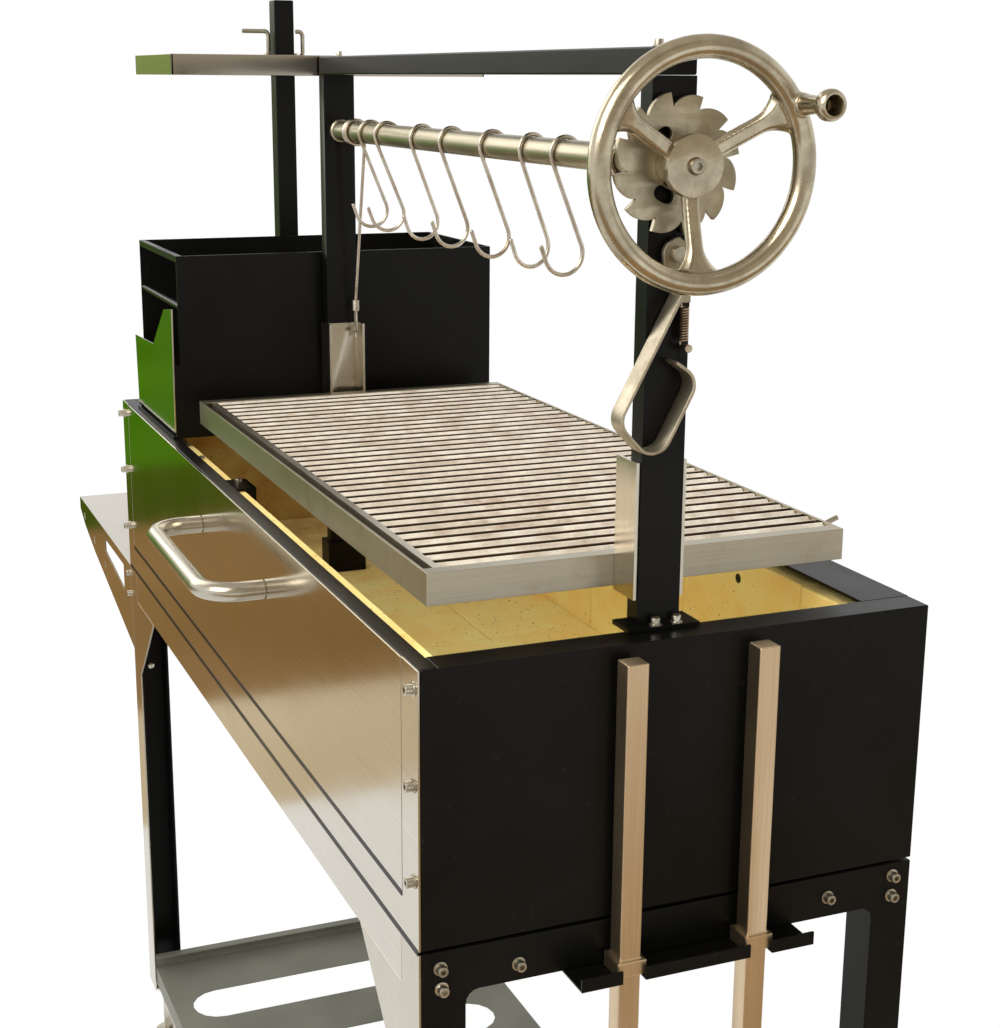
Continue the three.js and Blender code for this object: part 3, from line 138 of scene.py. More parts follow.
# %% Colours from hex, and nodes
def linear(code):
    """An sRGB colour such as #C8C2B4 as linear red, green, blue and 1."""
    channels = np.array([int(code[i:i + 2], 16) for i in (1, 3, 5)]) / 255
    low = channels / 12.92
    high = ((channels + 0.055) / 1.055) ** 2.4
    return (*np.where(channels <= 0.04045, low, high), 1.0)


def add(tree, kind, links=None, **settings):
    """Adds a node: its settings by name, and each input by a value or another node's socket."""
    node = tree.nodes.new(kind)
    for key, value in settings.items():
        setattr(node, key, value)
    for key, value in (links or {}).items():
        if isinstance(value, bpy.types.NodeSocket):
            tree.links.new(value, node.inputs[key])
        else:
            node.inputs[key].default_value = value
    return node


def ramp(tree, factor, stops):
    """A colour ramp through (place, hex) stops."""
    node = add(tree, "ShaderNodeValToRGB", {"Fac": factor})
    elements = node.color_ramp.elements
    while len(elements) < len(stops):
        elements.new(0.5)
    for element, (place, code) in zip(elements, stops):
        element.position = place
        element.color = linear(code)
    return node.outputs["Color"]


def mix(tree, factor, first, second, blend="MIX"):
    """Mixes two colours, given as sockets or as hex."""
    a, b = (linear(c) if isinstance(c, str) else c for c in (first, second))
    return add(tree, "ShaderNodeMix", {"Factor": factor, 6: a, 7: b}, data_type="RGBA",
               blend_type=blend).outputs[2]


def math_node(tree, operation, first, second):
    """One step of arithmetic on two numbers, given as sockets or as values."""
    return add(tree, "ShaderNodeMath", {0: first, 1: second}, operation=operation).outputs[0]


def empty_material(name):
    """A new material with nodes and nothing in it but the output."""
    material = bpy.data.materials.new(name)
    material.use_nodes = True
    material.node_tree.nodes.clear()
    return material, material.node_tree, add(material.node_tree, "ShaderNodeOutputMaterial")


# %% The world: white to the camera and to mirrored rays, plain light for the rest
LIGHT_LEVEL = 1.35
WHITE = "#FFFFFF"
DAYLIGHT = "#FFFDF8"
CEILING = "#C6BFB4"
BEHIND_CAMERA = "#BDB2A0"


def make_world():
    """For mirrored rays, white at the horizon and below, and dimmer overhead and behind the camera."""
    world = bpy.data.worlds.new("studio")
    bpy.context.scene.world = world
    world.use_nodes = True
    tree = world.node_tree
    tree.nodes.clear()
    path = add(tree, "ShaderNodeLightPath").outputs
    direction = add(tree, "ShaderNodeTexCoord").outputs["Generated"]
    parts = add(tree, "ShaderNodeSeparateXYZ", {0: direction}).outputs
    sky = ramp(tree, parts["Z"], [(0.0, WHITE), (0.42, WHITE), (0.72, CEILING), (1.0, CEILING)])
    towards_yard = ramp(tree, parts["X"], [(0.0, WHITE), (0.35, WHITE), (0.75, BEHIND_CAMERA)])
    walls = mix(tree, 1.0, sky, towards_yard, "MULTIPLY")
    mirrored = math_node(tree, "MAXIMUM", path["Is Glossy Ray"], path["Is Transmission Ray"])
    seen = math_node(tree, "MAXIMUM", path["Is Camera Ray"], mirrored)
    backdrop = mix(tree, path["Is Camera Ray"], walls, WHITE)
    shown = add(tree, "ShaderNodeBackground", {"Color": backdrop, "Strength": 1.0}).outputs[0]
    light = add(tree, "ShaderNodeBackground",
                {"Color": linear(DAYLIGHT), "Strength": LIGHT_LEVEL}).outputs[0]
    either = add(tree, "ShaderNodeMixShader", {0: seen, 1: light, 2: shown}).outputs[0]
    add(tree, "ShaderNodeOutputWorld", {"Surface": either})


make_world()


# %% The floor and the bands that the steel mirrors
FLOOR_TONE = "#FAF9F6"
FLOOR_SHADOW_SHARE = 0.05
FLOOR_REACH = 200.0
BAND_RAISE = 0.004
SAND_BAND = (-1.85, -1.2)
EARTH_BAND = (-3.6, -1.85)
MOSS_BAND = (-4.5, -3.6)
GRASS_BAND = (-16.0, -4.5)
HEDGE_HEIGHT = 2.6
BAND_DEPTH = (-9.0, 1.2)
DECK_BAND = (1.15, 3.3)
DECK_DEPTH = (-4.0, 6.0)


def stage_sheet(name, corners, material):
    """A rectangle that belongs to the set and not to the object."""
    mesh = bpy.data.meshes.new(name)
    mesh.from_pydata(corners, [], [(0, 1, 2, 3)])
    mesh.materials.append(material)
    sheet = bpy.data.objects.new(name, mesh)
    bpy.context.scene.collection.objects.link(sheet)
    return sheet


def level_sheet(name, x_range, y_range, z, material):
    """A rectangle that lies at height z."""
    (left, right), (front, back) = x_range, y_range
    corners = [(left, front, z), (right, front, z), (right, back, z), (left, back, z)]
    return stage_sheet(name, corners, material)


def floor_material():
    """Almost pure white where it is seen, with a share of real shading that keeps the shadow."""
    material, tree, output = empty_material("pale_floor")
    path = add(tree, "ShaderNodeLightPath").outputs
    shaded = add(tree, "ShaderNodeBsdfDiffuse", {"Color": linear(FLOOR_TONE)}).outputs[0]
    white = add(tree, "ShaderNodeEmission", {"Color": linear(WHITE), "Strength": 1.0}).outputs[0]
    seen = math_node(tree, "MAXIMUM", path["Is Camera Ray"], path["Is Glossy Ray"])
    share = math_node(tree, "MULTIPLY", seen, 1 - FLOOR_SHADOW_SHARE)
    mixed = add(tree, "ShaderNodeMixShader", {0: share, 1: shaded, 2: white}).outputs[0]
    tree.links.new(mixed, output.inputs["Surface"])
    return material


def band_material(name, near, far, grain):
    """Two tones of ground in soft blotches, grain metres wide, that glow at their own level."""
    material, tree, output = empty_material(name)
    place = add(tree, "ShaderNodeTexCoord").outputs["Object"]
    blotch = add(tree, "ShaderNodeTexNoise", {"Vector": place, "Scale": 1 / grain}).outputs["Fac"]
    tone = ramp(tree, blotch, [(0.35, near), (0.65, far)])
    glow = add(tree, "ShaderNodeEmission", {"Color": tone, "Strength": 1.0}).outputs[0]
    tree.links.new(glow, output.inputs["Surface"])
    return material


def hedge():
    """An upright rectangle at the far end of the grass, seen only in what mirrors it."""
    far, (front, back) = GRASS_BAND[0], BAND_DEPTH
    corners = [(far, front, 0), (far, back, 0), (far, back, HEDGE_HEIGHT), (far, front, HEDGE_HEIGHT)]
    return stage_sheet("hedge", corners, band_material("leaves", "#7B9242", "#95A765", 0.8))


level_sheet("floor", (-FLOOR_REACH, FLOOR_REACH), (-FLOOR_REACH, FLOOR_REACH), 0, floor_material())
BANDS = {
    "sand": (SAND_BAND, BAND_DEPTH, "#D9C5A2", "#EBDCC0", 0.9),
    "earth": (EARTH_BAND, BAND_DEPTH, "#8E6F40", "#A28054", 0.9),
    "moss": (MOSS_BAND, BAND_DEPTH, "#3C5209", "#4C5A12", 0.9),
    "deck": (DECK_BAND, DECK_DEPTH, "#A58A66", "#BCA17E", 0.7),
    "grass": (GRASS_BAND, BAND_DEPTH, "#3F7005", "#568A12", 1.4),
}
bands = [
    level_sheet(name + "_band", across, deep, BAND_RAISE, band_material(name, near, far, grain))
    for name, (across, deep, near, far, grain) in BANDS.items()
] + [hedge()]
for band in bands:
    band.visible_camera = False
    band.visible_diffuse = False
    band.visible_shadow = False
    band.visible_transmission = False


# %% Two soft lamps
LAMPS = {
    "key_lamp": ((1.9, -2.6, 3.4), 2.4, 95.0),
    "fill_lamp": ((-2.6, -1.6, 2.9), 2.8, 45.0),
}
LAMP_TARGET = Vector((0.0, 0.0, 0.8))
for lamp_name, (place, size, power) in LAMPS.items():
    lamp_data = bpy.data.lights.new(lamp_name, "AREA")
    lamp_data.shape = "SQUARE"
    lamp_data.size = size
    lamp_data.energy = power
    lamp_data.color = linear("#FFFAF2")[:3]
    lamp = bpy.data.objects.new(lamp_name, lamp_data)
    bpy.context.scene.collection.objects.link(lamp)
    lamp.location = place
    lamp.rotation_euler = (LAMP_TARGET - Vector(place)).to_track_quat("-Z", "Y").to_euler()
bpy.context.scene.view_settings.view_transform = "Standard"
print("set: floor,", len(bands), "bands,", len(LAMPS), "lamps")

# %% [markdown]
# Finishes. Almost everything here is one of three things: mild steel with a satin black powder
# coat, stainless steel with a grain from the belt it was ground on, or firebrick. A pattern's scale
# is worked from a size in millimetres, and one that is too fine for the picture is drawn as coarse
# as it needs to be to show, such as the ground grain, which is really a tenth of a millimetre wide.

# %% Helpers that every finish uses
def object_place(tree, scale=(1, 1, 1)):
    """Object coordinates, stretched along each axis."""
    place = add(tree, "ShaderNodeTexCoord").outputs["Object"]
    return add(tree, "ShaderNodeMapping", {"Vector": place, "Scale": scale}).outputs["Vector"]


def noise(tree, size, detail=2.0, stretch=(1, 1, 1), roughness=0.5):
    """Noise whose blotches are size millimetres wide, before each axis is stretched."""
    place = object_place(tree, tuple(1 / (s * size * MM) for s in stretch))
    links = {"Vector": place, "Scale": 1.0, "Detail": detail, "Roughness": roughness}
    return add(tree, "ShaderNodeTexNoise", links).outputs["Fac"]


def between(tree, factor, low, high, start=0.3, end=0.7):
    """A number that goes from low to high while the factor goes from start to end."""
    links = {"Value": factor, "From Min": start, "From Max": end, "To Min": low, "To Max": high}
    return add(tree, "ShaderNodeMapRange", links).outputs["Result"]


def bump(tree, height, depth, strength=1.0, onto=None):
    """Turns a height from 0 to 1 into bumps that are depth millimetres high."""
    links = {"Height": height, "Distance": depth * MM, "Strength": strength}
    if onto is not None:
        links["Normal"] = onto
    return add(tree, "ShaderNodeBump", links).outputs["Normal"]


def shader(tree, output, links):
    """The one surface shader of a finish."""
    surface = add(tree, "ShaderNodeBsdfPrincipled", links).outputs["BSDF"]
    tree.links.new(surface, output.inputs["Surface"])


# %% Satin black paint
def satin_black_paint(name, colour, lighter, dullness):
    """Powder coat on mild steel: baked on, so it has a faint orange peel and thin dust on top.
    The eye sees almost no colour, only a soft sheen that breaks up a little over the peel."""
    material, tree, output = empty_material(name)
    peel = noise(tree, 2.2, detail=2.0)
    cloud = noise(tree, 140, detail=3.0)
    dust = noise(tree, 9, detail=6.0, roughness=0.7)
    tone = mix(tree, between(tree, cloud, 0.0, 1.0), colour, lighter)
    tone = mix(tree, between(tree, dust, 0.0, 0.05, 0.62, 0.8), tone, "#8C877C")
    shader(tree, output, {
        "Base Color": tone,
        "Roughness": between(tree, cloud, dullness - 0.05, dullness + 0.07),
        "Specular IOR Level": 0.15,
        "Normal": bump(tree, peel, 0.05, 0.5),
    })
    return material


# %% Ground stainless steel
GRAIN_STRETCH = 90.0


def ground_stainless(name, light, dark, grain, roughness, tint=None):
    """Stainless sheet or bar ground with a belt: fine scratches that all run one way (grain is
    the axis, 0 to 2), hand marks a few centimetres wide, and where tint is given, heat colour."""
    material, tree, output = empty_material(name)
    stretch = [1.0, 1.0, 1.0]
    stretch[grain] = GRAIN_STRETCH
    scratch = noise(tree, 1.3, detail=4.0, stretch=stretch, roughness=0.6)
    hand = noise(tree, 120, detail=2.0)
    tone = mix(tree, between(tree, scratch, 0.25, 0.85, 0.25, 0.75), dark, light)
    tone = mix(tree, between(tree, hand, 0.0, 0.18), tone, dark)
    if tint is not None:
        stain = noise(tree, 60, detail=4.0, roughness=0.6)
        tone = mix(tree, between(tree, stain, 0.0, 0.55, 0.56, 0.72), tone, tint)
    shader(tree, output, {
        "Base Color": tone,
        "Metallic": 1.0,
        "Roughness": between(tree, hand, roughness - 0.02, roughness + 0.04),
        "Normal": bump(tree, scratch, 0.006, 0.3),
    })
    return material


# %% Cast, drawn and plated steel
def polished_cast(name, light, dark, roughness):
    """Cast steel, turned and buffed: no grain, broad soft dents from the casting and a warm tone."""
    material, tree, output = empty_material(name)
    dents = noise(tree, 11, detail=2.0)
    stain = noise(tree, 28, detail=5.0, roughness=0.62)
    pores = noise(tree, 1.5, detail=3.0)
    tone = mix(tree, between(tree, stain, 0.0, 1.0, 0.34, 0.68), light, dark)
    relief = bump(tree, dents, 0.35, 0.5)
    shader(tree, output, {
        "Base Color": tone,
        "Metallic": 1.0,
        "Roughness": between(tree, stain, roughness - 0.05, roughness + 0.12),
        "Normal": bump(tree, pores, 0.04, 0.4, relief),
    })
    return material


# %% Firebrick and the grate's bars
SMOKED_FROM, SMOKED_TO = -1080, -820
BURN_PLACE = (-235, 185, 57)
BURN_REACH = 170


def firebrick_material():
    """Pressed fireclay: pale yellow, sandy, with dark specks and small pits, and browner with smoke
    towards the left end, under the ember basket."""
    material, tree, output = empty_material("firebrick_clay")
    mottle = noise(tree, 70, detail=5.0, roughness=0.6)
    smoke = noise(tree, 210, detail=4.0, roughness=0.6)
    sand = noise(tree, 2.4, detail=4.0, roughness=0.7)
    speck = noise(tree, 5.0, detail=2.0, roughness=0.6)
    place = add(tree, "ShaderNodeTexCoord").outputs["Object"]
    across = add(tree, "ShaderNodeSeparateXYZ", {0: place}).outputs["X"]
    far = between(tree, across, 1.0, 0.0, at(SMOKED_FROM, 0, 0)[0], at(SMOKED_TO, 0, 0)[0])
    heavy = math_node(tree, "MULTIPLY", far, between(tree, mottle, 0.35, 0.85))
    tone = mix(tree, between(tree, mottle, 0.0, 1.0, 0.36, 0.66), "#FFF0A0", "#FFDC82")
    tone = mix(tree, between(tree, smoke, 0.0, 0.35, 0.55, 0.75), tone, "#D9A85C")
    tone = mix(tree, heavy, tone, "#9C6420")
    tone = mix(tree, between(tree, speck, 0.0, 0.8, 0.67, 0.72), tone, "#4A3418")
    tone = mix(tree, between(tree, sand, 0.0, 0.25), tone, "#FFEFA0")
    relief = bump(tree, sand, 0.35, 0.7)
    shader(tree, output, {
        "Base Color": tone,
        "Roughness": between(tree, sand, 0.88, 1.0),
        "Normal": bump(tree, speck, 0.8, 0.5, relief),
    })
    return material


def v_bar_steel():
    """Folded stainless bars, pale and a little clouded, and browned in streaks where food has
    burnt on them, less and less with the distance from one place."""
    material, tree, output = empty_material("stainless_v_bars")
    cloud = noise(tree, 26, detail=4.0, roughness=0.6)
    burn = noise(tree, 14, detail=4.0, stretch=(1, 3, 1), roughness=0.6)
    place = add(tree, "ShaderNodeTexCoord").outputs["Object"]
    offset = add(tree, "ShaderNodeVectorMath", {0: place, 1: tuple(at(BURN_PLACE))},
                 operation="SUBTRACT").outputs[0]
    apart = add(tree, "ShaderNodeVectorMath", {0: offset, 1: (1, 1.7, 1)},
                operation="MULTIPLY").outputs[0]
    reach = add(tree, "ShaderNodeVectorMath", {0: apart}, operation="LENGTH").outputs["Value"]
    near = between(tree, reach, 1.0, 0.0, 0.3 * BURN_REACH * MM, BURN_REACH * MM)
    scorched = math_node(tree, "MULTIPLY", near, between(tree, burn, 0.0, 1.0, 0.45, 0.65))
    tone = mix(tree, between(tree, cloud, 0.0, 1.0, 0.35, 0.68), "#F6EFE2", "#CDBFAE")
    tone = mix(tree, between(tree, burn, 0.0, 0.2, 0.6, 0.75), tone, "#B08A62")
    tone = mix(tree, math_node(tree, "MULTIPLY", scorched, 0.6), tone, "#9A6A48")
    shader(tree, output, {
        "Base Color": tone,
        "Metallic": 0.55,
        "Roughness": between(tree, cloud, 0.34, 0.46),
    })
    return material


# %% The finishes by name
FINISHES = {
    "black": satin_black_paint("satin_black_paint", "#050504", "#0B0B09", 0.33),
    "grey_shelf": satin_black_paint("satin_black_paint_shelf", "#5A5B52", "#6A6A60", 0.42),
    "sheet_x": ground_stainless("stainless_sheet_ground_along", "#D3CDBF", "#BAB3A5", 0, 0.13),
    "sheet_z": ground_stainless("stainless_sheet_ground_upright", "#CFC9BA", "#AFA897", 2, 0.2),
    "grate": ground_stainless("stainless_grate_frame", "#BDB6A4", "#A39B87", 1, 0.33, "#94825E"),
    "bars": v_bar_steel(),
    # Painted shade: the dull dark brown of the crust on the bars' flanks stands for the shadow between the
    # bars.
    "painted_shade": satin_black_paint("bar_shade_crust", "#453825", "#5A4A34", 0.9),
    "strip": ground_stainless("stainless_strip", "#E9E2D2", "#C9C0AD", 0, 0.3),
    "square": ground_stainless("stainless_square_bar", "#E6D2B4", "#C6AD8A", 2, 0.34),
    "tube": ground_stainless("stainless_tube", "#CFC9BA", "#A59E8E", 0, 0.25),
    "shaft": ground_stainless("stainless_shaft", "#C6BFA8", "#958D77", 0, 0.36),
    "wire": polished_cast("stainless_wire_drawn", "#D6CFC2", "#A89A88", 0.24),
    "wheel": polished_cast("stainless_casting_buffed", "#C6BCA4", "#9F9580", 0.2),
    "ratchet": polished_cast("stainless_plate_cut", "#BDB49C", "#9A917C", 0.32),
    "lever": polished_cast("stainless_flat_bar", "#B9B09B", "#9C937E", 0.42),
    "zinc": polished_cast("zinc_plated_steel", "#CFCABD", "#98917F", 0.3),
    "spring": polished_cast("spring_steel_wire", "#C9B9A2", "#8E7C66", 0.3),
    "brick": firebrick_material(),
}
print("finishes:", ", ".join(sorted(FINISHES)))

# %% [markdown]
# A CAD node has the right size but the sharp edges of a drawing. Folded sheet and sawn tube always
# have a small round on every edge, and it is that round that catches the light. So each such node
# is copied, its triangles merged back into whole faces, and a bevel of the real edge's size put on.

# %% Pieces made from the CAD nodes, with eased edges
WELD = 0.02
FLAT_ANGLE = math.radians(0.6)
SHARP_ANGLE = math.radians(38)
BEVEL_ANGLE = math.radians(32)
BEVEL_SEGMENTS = 2
made_pieces = []


def linked(name, mesh):
    """A new object with this mesh, in the scene."""
    piece = bpy.data.objects.new(name, mesh)
    bpy.context.scene.collection.objects.link(piece)
    return piece


def smooth_by_angle(mesh, angle=SHARP_ANGLE):
    """Smooth shading everywhere but across edges that turn more than the angle."""
    mesh.polygons.foreach_set("use_smooth", np.ones(len(mesh.polygons), bool))
    mesh.set_sharp_from_angle(angle=angle)


def ease_edges(piece, width):
    """A live bevel of the given width in millimetres on the piece's sharp edges."""
    bevel = piece.modifiers.new("eased_edges", "BEVEL")
    bevel.width = width * MM
    bevel.segments = BEVEL_SEGMENTS
    bevel.limit_method = "ANGLE"
    bevel.angle_limit = BEVEL_ANGLE
    bevel.harden_normals = True


def settle(piece, finish, body, replaced=()):
    """Gives a finished piece its material, its body and what it replaces, and lists it among the pieces
    made.
    """
    piece.data.materials.clear()
    piece.data.materials.append(FINISHES[finish])
    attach(piece, body)
    if replaced:
        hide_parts(*replaced)
    made_pieces.append(piece.name)
    return piece


def eased(node, finish, width):
    """The node's own shape, merged, with its flat faces whole again and its edges eased."""
    work = bmesh.new()
    work.from_mesh(nodes[node].data)
    bmesh.ops.remove_doubles(work, verts=work.verts, dist=WELD * MM)
    bmesh.ops.dissolve_limit(work, angle_limit=FLAT_ANGLE, verts=work.verts, edges=work.edges)
    mesh = bpy.data.meshes.new(node + "_eased")
    work.to_mesh(mesh)
    work.free()
    smooth_by_angle(mesh)
    piece = linked(node + "_eased", mesh)
    ease_edges(piece, width)
    return settle(piece, finish, nodes[node]["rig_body"], (node,))


# Rows of (nodes, finish, slot, edge in millimetres).
EASED_NODES = [
    ("right_end_panel left_end_panel", "black", "black_paint", 1.1),
    ("rear_panel", "black", "black_paint", 0.9),
    ("front_rail", "black", "black_paint", 1.1),
    ("front_surround", "sheet_x", "stainless_sheet", 0.5),
    ("door_panel", "sheet_x", "stainless_sheet", 0.3),
    ("right_end_frame left_end_frame", "black", "black_paint", 1.0),
    ("front_apron", "sheet_x", "stainless_sheet", 0.5),
    ("rear_apron", "black", "black_paint", 0.8),
    ("right_leg_facing left_leg_facing", "sheet_z", "stainless_sheet", 0.5),
    ("lower_shelf", "grey_shelf", "black_paint", 0.7),
    ("foot_front_right foot_rear_right foot_front_left foot_rear_left", "zinc", "zinc_plated", 0.5),
    ("right_post left_post brasero_post cross_beam", "black", "black_paint", 1.6),
    ("brasero_body", "black", "black_paint", 1.4),
    ("brasero_front_plate", "sheet_x", "stainless_sheet", 0.5),
    ("brasero_grid", "black", "black_paint", 0.8),
    ("grate_frame", "grate", "stainless_sheet", 0.6),
    ("grate_bars", "bars", "stainless_bar", 0.5),
    ("right_guide left_guide", "sheet_z", "stainless_sheet", 0.7),
    ("side_shelf", "sheet_x", "stainless_sheet", 0.5),
    ("tool_rack", "black", "black_paint", 0.7),
    ("bar_front bar_rear", "square", "stainless_bar", 1.3),
    ("pawl_pivot_bolt", "zinc", "zinc_plated", 0.4),
    ("spring_screw", "spring", "spring_steel", 0.3),
]
for node_names, finish, slot, width in EASED_NODES:
    for node_name in node_names.split():
        eased(node_name, finish, width)
print("eased", len(made_pieces), "nodes")

# %% [markdown]
# Everything round is worked out instead: a profile carried along a path or turned about an axis.
# A surface is a grid of points, one row for each station along it, and whole arrays give all the
# points at once, so the wire of a hook can have as many sides as it needs to look round.

# %% Shells: grids of points, paths and sections
def shell(grid, closed_along=False):
    """Points and faces of a grid that closes round its second direction, with flat ends."""
    along, around = grid.shape[:2]
    rows = np.arange(along if closed_along else along - 1)[:, None]
    columns = np.arange(around)[None, :]
    next_row = (rows + 1) % along
    next_column = (columns + 1) % around
    quads = np.stack([
        rows * around + columns, rows * around + next_column,
        next_row * around + next_column, next_row * around + columns,
    ], axis=-1).reshape(-1, 4).tolist()
    if not closed_along:
        first = np.arange(around)
        quads += [first[::-1].tolist(), (first + (along - 1) * around).tolist()]
    return grid.reshape(-1, 3), quads


def block(low, high):
    """The points and faces of a box between two corners."""
    low, high = np.asarray(low, float), np.asarray(high, float)
    share = np.array([[i & 1, i >> 1 & 1, i >> 2 & 1] for i in range(8)])
    faces = [(0, 2, 3, 1), (4, 5, 7, 6), (0, 1, 5, 4), (2, 6, 7, 3), (0, 4, 6, 2), (1, 3, 7, 5)]
    return low + share * (high - low), [list(face) for face in faces]


def millimetre_block(x, y, z):
    """A box between two places in millimetres, given as a pair for each axis."""
    return block(at(x[0], y[0], z[0]), at(x[1], y[1], z[1]))


def ring(radius, sides=24):
    """A round section: points at equal angles on a circle."""
    angle = np.linspace(0, 2 * np.pi, sides, endpoint=False)
    return MM * radius * np.stack([np.cos(angle), np.sin(angle)], axis=-1)


def flat_bar(width, thickness, corner, steps=4):
    """A flat section with round corners: each quarter turn keeps to its own corner's centre."""
    angle = np.concatenate([np.linspace(q, q + 0.5, steps) for q in (0, 0.5, 1, 1.5)]) * np.pi
    way = np.repeat([[1, 1], [-1, 1], [-1, -1], [1, -1]], steps, axis=0)
    centre = way * (np.array([thickness, width]) / 2 - corner)
    return MM * (centre + corner * np.stack([np.cos(angle), np.sin(angle)], axis=-1))


def carried(path, section, side):
    """A section carried along a path. Its first number points across the path and square to the
    side direction, and its second as near to the side direction as the path allows."""
    along = unit(np.gradient(path, axis=0))
    across = unit(np.cross(np.broadcast_to(side, along.shape), along))
    upward = np.cross(along, across)
    return path[:, None] + section[..., 0:1] * across[:, None] + section[..., 1:2] * upward[:, None]


def rounded(corners, radius, steps=10):
    """A path through corners, in metres, with each corner turned on an arc of radius millimetres."""
    corners = np.array(corners, float)
    stations = [corners[:1]]
    for before, here, after in zip(corners, corners[1:], corners[2:]):
        back, ahead = unit(before - here), unit(after - here)
        half = np.arccos(back @ ahead) / 2
        centre = here + unit(back + ahead) * MM * radius / np.sin(half)
        start = here + back * MM * radius / np.tan(half) - centre
        end = here + ahead * MM * radius / np.tan(half) - centre
        sweep = np.pi - 2 * half
        share = np.linspace(0, 1, steps)[:, None]
        arc = np.sin((1 - share) * sweep) * start + np.sin(share * sweep) * end
        stations.append(centre + arc / np.sin(sweep))
    stations.append(corners[-1:])
    return np.concatenate(stations)


def dense(path, spacing):
    """The same path with stations at equal distances, spacing millimetres apart."""
    steps = np.linalg.norm(np.diff(path, axis=0), axis=1)
    reach = np.concatenate([[0], np.cumsum(steps)])
    places = np.linspace(0, reach[-1], max(2, int(reach[-1] / (spacing * MM)) + 1))
    return np.stack([np.interp(places, reach, path[:, k]) for k in range(3)], axis=-1)


def circle_about(axis, sides):
    """Directions square to an axis, spread evenly round it."""
    first = unit(np.cross(axis, Z_AXIS if abs(axis[2]) < 0.9 else X_AXIS))
    second = np.cross(axis, first)
    angle = np.linspace(0, 2 * np.pi, sides, endpoint=False)[:, None]
    return np.cos(angle) * first + np.sin(angle) * second


def turned(profile, origin, axis, sides=48, closed=False):
    """A body turned about an axis, from rows of (distance along it, radius) in millimetres."""
    profile = MM * np.array(profile, float)
    axis = unit(axis)
    grid = origin + profile[:, None, 0:1] * axis + profile[:, None, 1:2] * circle_about(axis, sides)
    return shell(grid, closed)


def gathered(name, parts):
    """One object from several shells, with every shell's faces pointing out of it."""
    points, faces, count = [], [], 0
    for part_points, part_faces in parts:
        points.append(part_points)
        faces += [[count + index for index in face] for face in part_faces]
        count += len(part_points)
    mesh = bpy.data.meshes.new(name)
    mesh.from_pydata(np.concatenate(points).tolist(), [], faces)
    work = bmesh.new()
    work.from_mesh(mesh)
    bmesh.ops.recalc_face_normals(work, faces=work.faces)
    work.to_mesh(mesh)
    work.free()
    smooth_by_angle(mesh)
    return linked(name, mesh)


def joined(name, pieces):
    """One piece made of several, which are gone afterwards."""
    work = bmesh.new()
    for piece in pieces:
        work.from_mesh(piece.data)
    mesh = bpy.data.meshes.new(name)
    work.to_mesh(mesh)
    work.free()
    for piece in pieces:
        bpy.data.objects.remove(piece)
    smooth_by_angle(mesh)
    return linked(name, mesh)


def round_tip(path, radius, at_end):
    """A few stations past an end of a wire and their shares of its radius: half a sphere."""
    tip, inner = (path[-1], path[-2]) if at_end else (path[0], path[1])
    angle = np.linspace(0, np.pi / 2, 6)[1:]
    stations = tip + unit(tip - inner) * MM * radius * np.sin(angle)[:, None]
    shares = np.maximum(np.cos(angle), 0.06)
    return (stations, shares) if at_end else (stations[::-1], shares[::-1])


def wire(path, radius, side, sides=20):
    """A round wire with round tips along a path."""
    head, head_shares = round_tip(path, radius, False)
    tail, tail_shares = round_tip(path, radius, True)
    shares = np.concatenate([head_shares, np.ones(len(path)), tail_shares])
    section = ring(radius, sides)[None] * shares[:, None, None]
    return shell(carried(np.concatenate([head, path, tail]), section, side))


print("shells are ready")

# %% [markdown]
# The handwheel is one steel casting: a round rim, three spokes that spread where they meet it, a
# hub disc and a boss for the crank. On a casting every inside corner is a fillet, because sharp
# sand would wash away. The parts are laid through each other, remeshed into one skin with a fine
# voxel and smoothed, and the smoothing leaves just those fillets.

# %% The handwheel
SHAFT_Y, SHAFT_Z = 232, 390
WHEEL_PLANE = 18
WHEEL_RADIUS = 100
RIM_TUBE = 9.35
HUB_RADIUS = 25
HUB_FACE = 5
HUB_BACK = -5
BOSS_RADIUS = 20
BOSS_BACK = -24.7
SHAFT_BORE = 12.8
CRANK_RADIUS = 95
CRANK_BOSS_RADIUS = 8.8
CRANK_BOSS_END = 29.4
CRANK_PIN_RADIUS = 3.9
CRANK_PIN_END = 50
SPOKE_ANGLES = np.radians([30, 150, 270])
SPOKE_HALF_THICKNESS = 3.6
SPOKE_HALF_WIDTH = 0.082
SPOKE_FLARE = 0.26
SPOKE_FLARE_FROM = 0.68
SPOKE_ROOT_X = -5
SPOKE_LEAN_POWER = 1.5
WHEEL_VOXEL = 1.1
WHEEL_SMOOTHING = 4


def wheel_spoke(angle):
    """A flat bar with chamfered sides from the hub to the rim. Its half width is a share of the
    rim's radius that stays level and then swells as a square towards the rim, and its middle comes
    forward from behind the hub's face as a power of how far out it is."""
    reach = np.linspace(0.16, 1.0, 40)[:, None]
    rim_reach = WHEEL_RADIUS - RIM_TUBE
    flare = np.clip((reach - SPOKE_FLARE_FROM) / (1 - SPOKE_FLARE_FROM), 0, 1) ** 2
    half_width = rim_reach * (SPOKE_HALF_WIDTH + SPOKE_FLARE * flare)
    half_thick = SPOKE_HALF_THICKNESS * (1 + 0.5 * flare)
    chamfered = np.array([(1, -1), (1, -0.1), (0.62, 1), (-0.62, 1), (-1, -0.1), (-1, -1)])
    width = half_width * chamfered[None, :, 0]
    thick = half_thick * chamfered[None, :, 1]
    lean = SPOKE_ROOT_X + (WHEEL_PLANE - SPOKE_ROOT_X) * reach ** SPOKE_LEAN_POWER
    outward = np.array([math.cos(angle), math.sin(angle)])
    sideways = np.array([-math.sin(angle), math.cos(angle)])
    y = SHAFT_Y + rim_reach * reach * outward[0] + width * sideways[0]
    z = SHAFT_Z + rim_reach * reach * outward[1] + width * sideways[1]
    return shell(at(np.stack([lean + thick, y + 0 * thick, z + 0 * thick], axis=-1)))


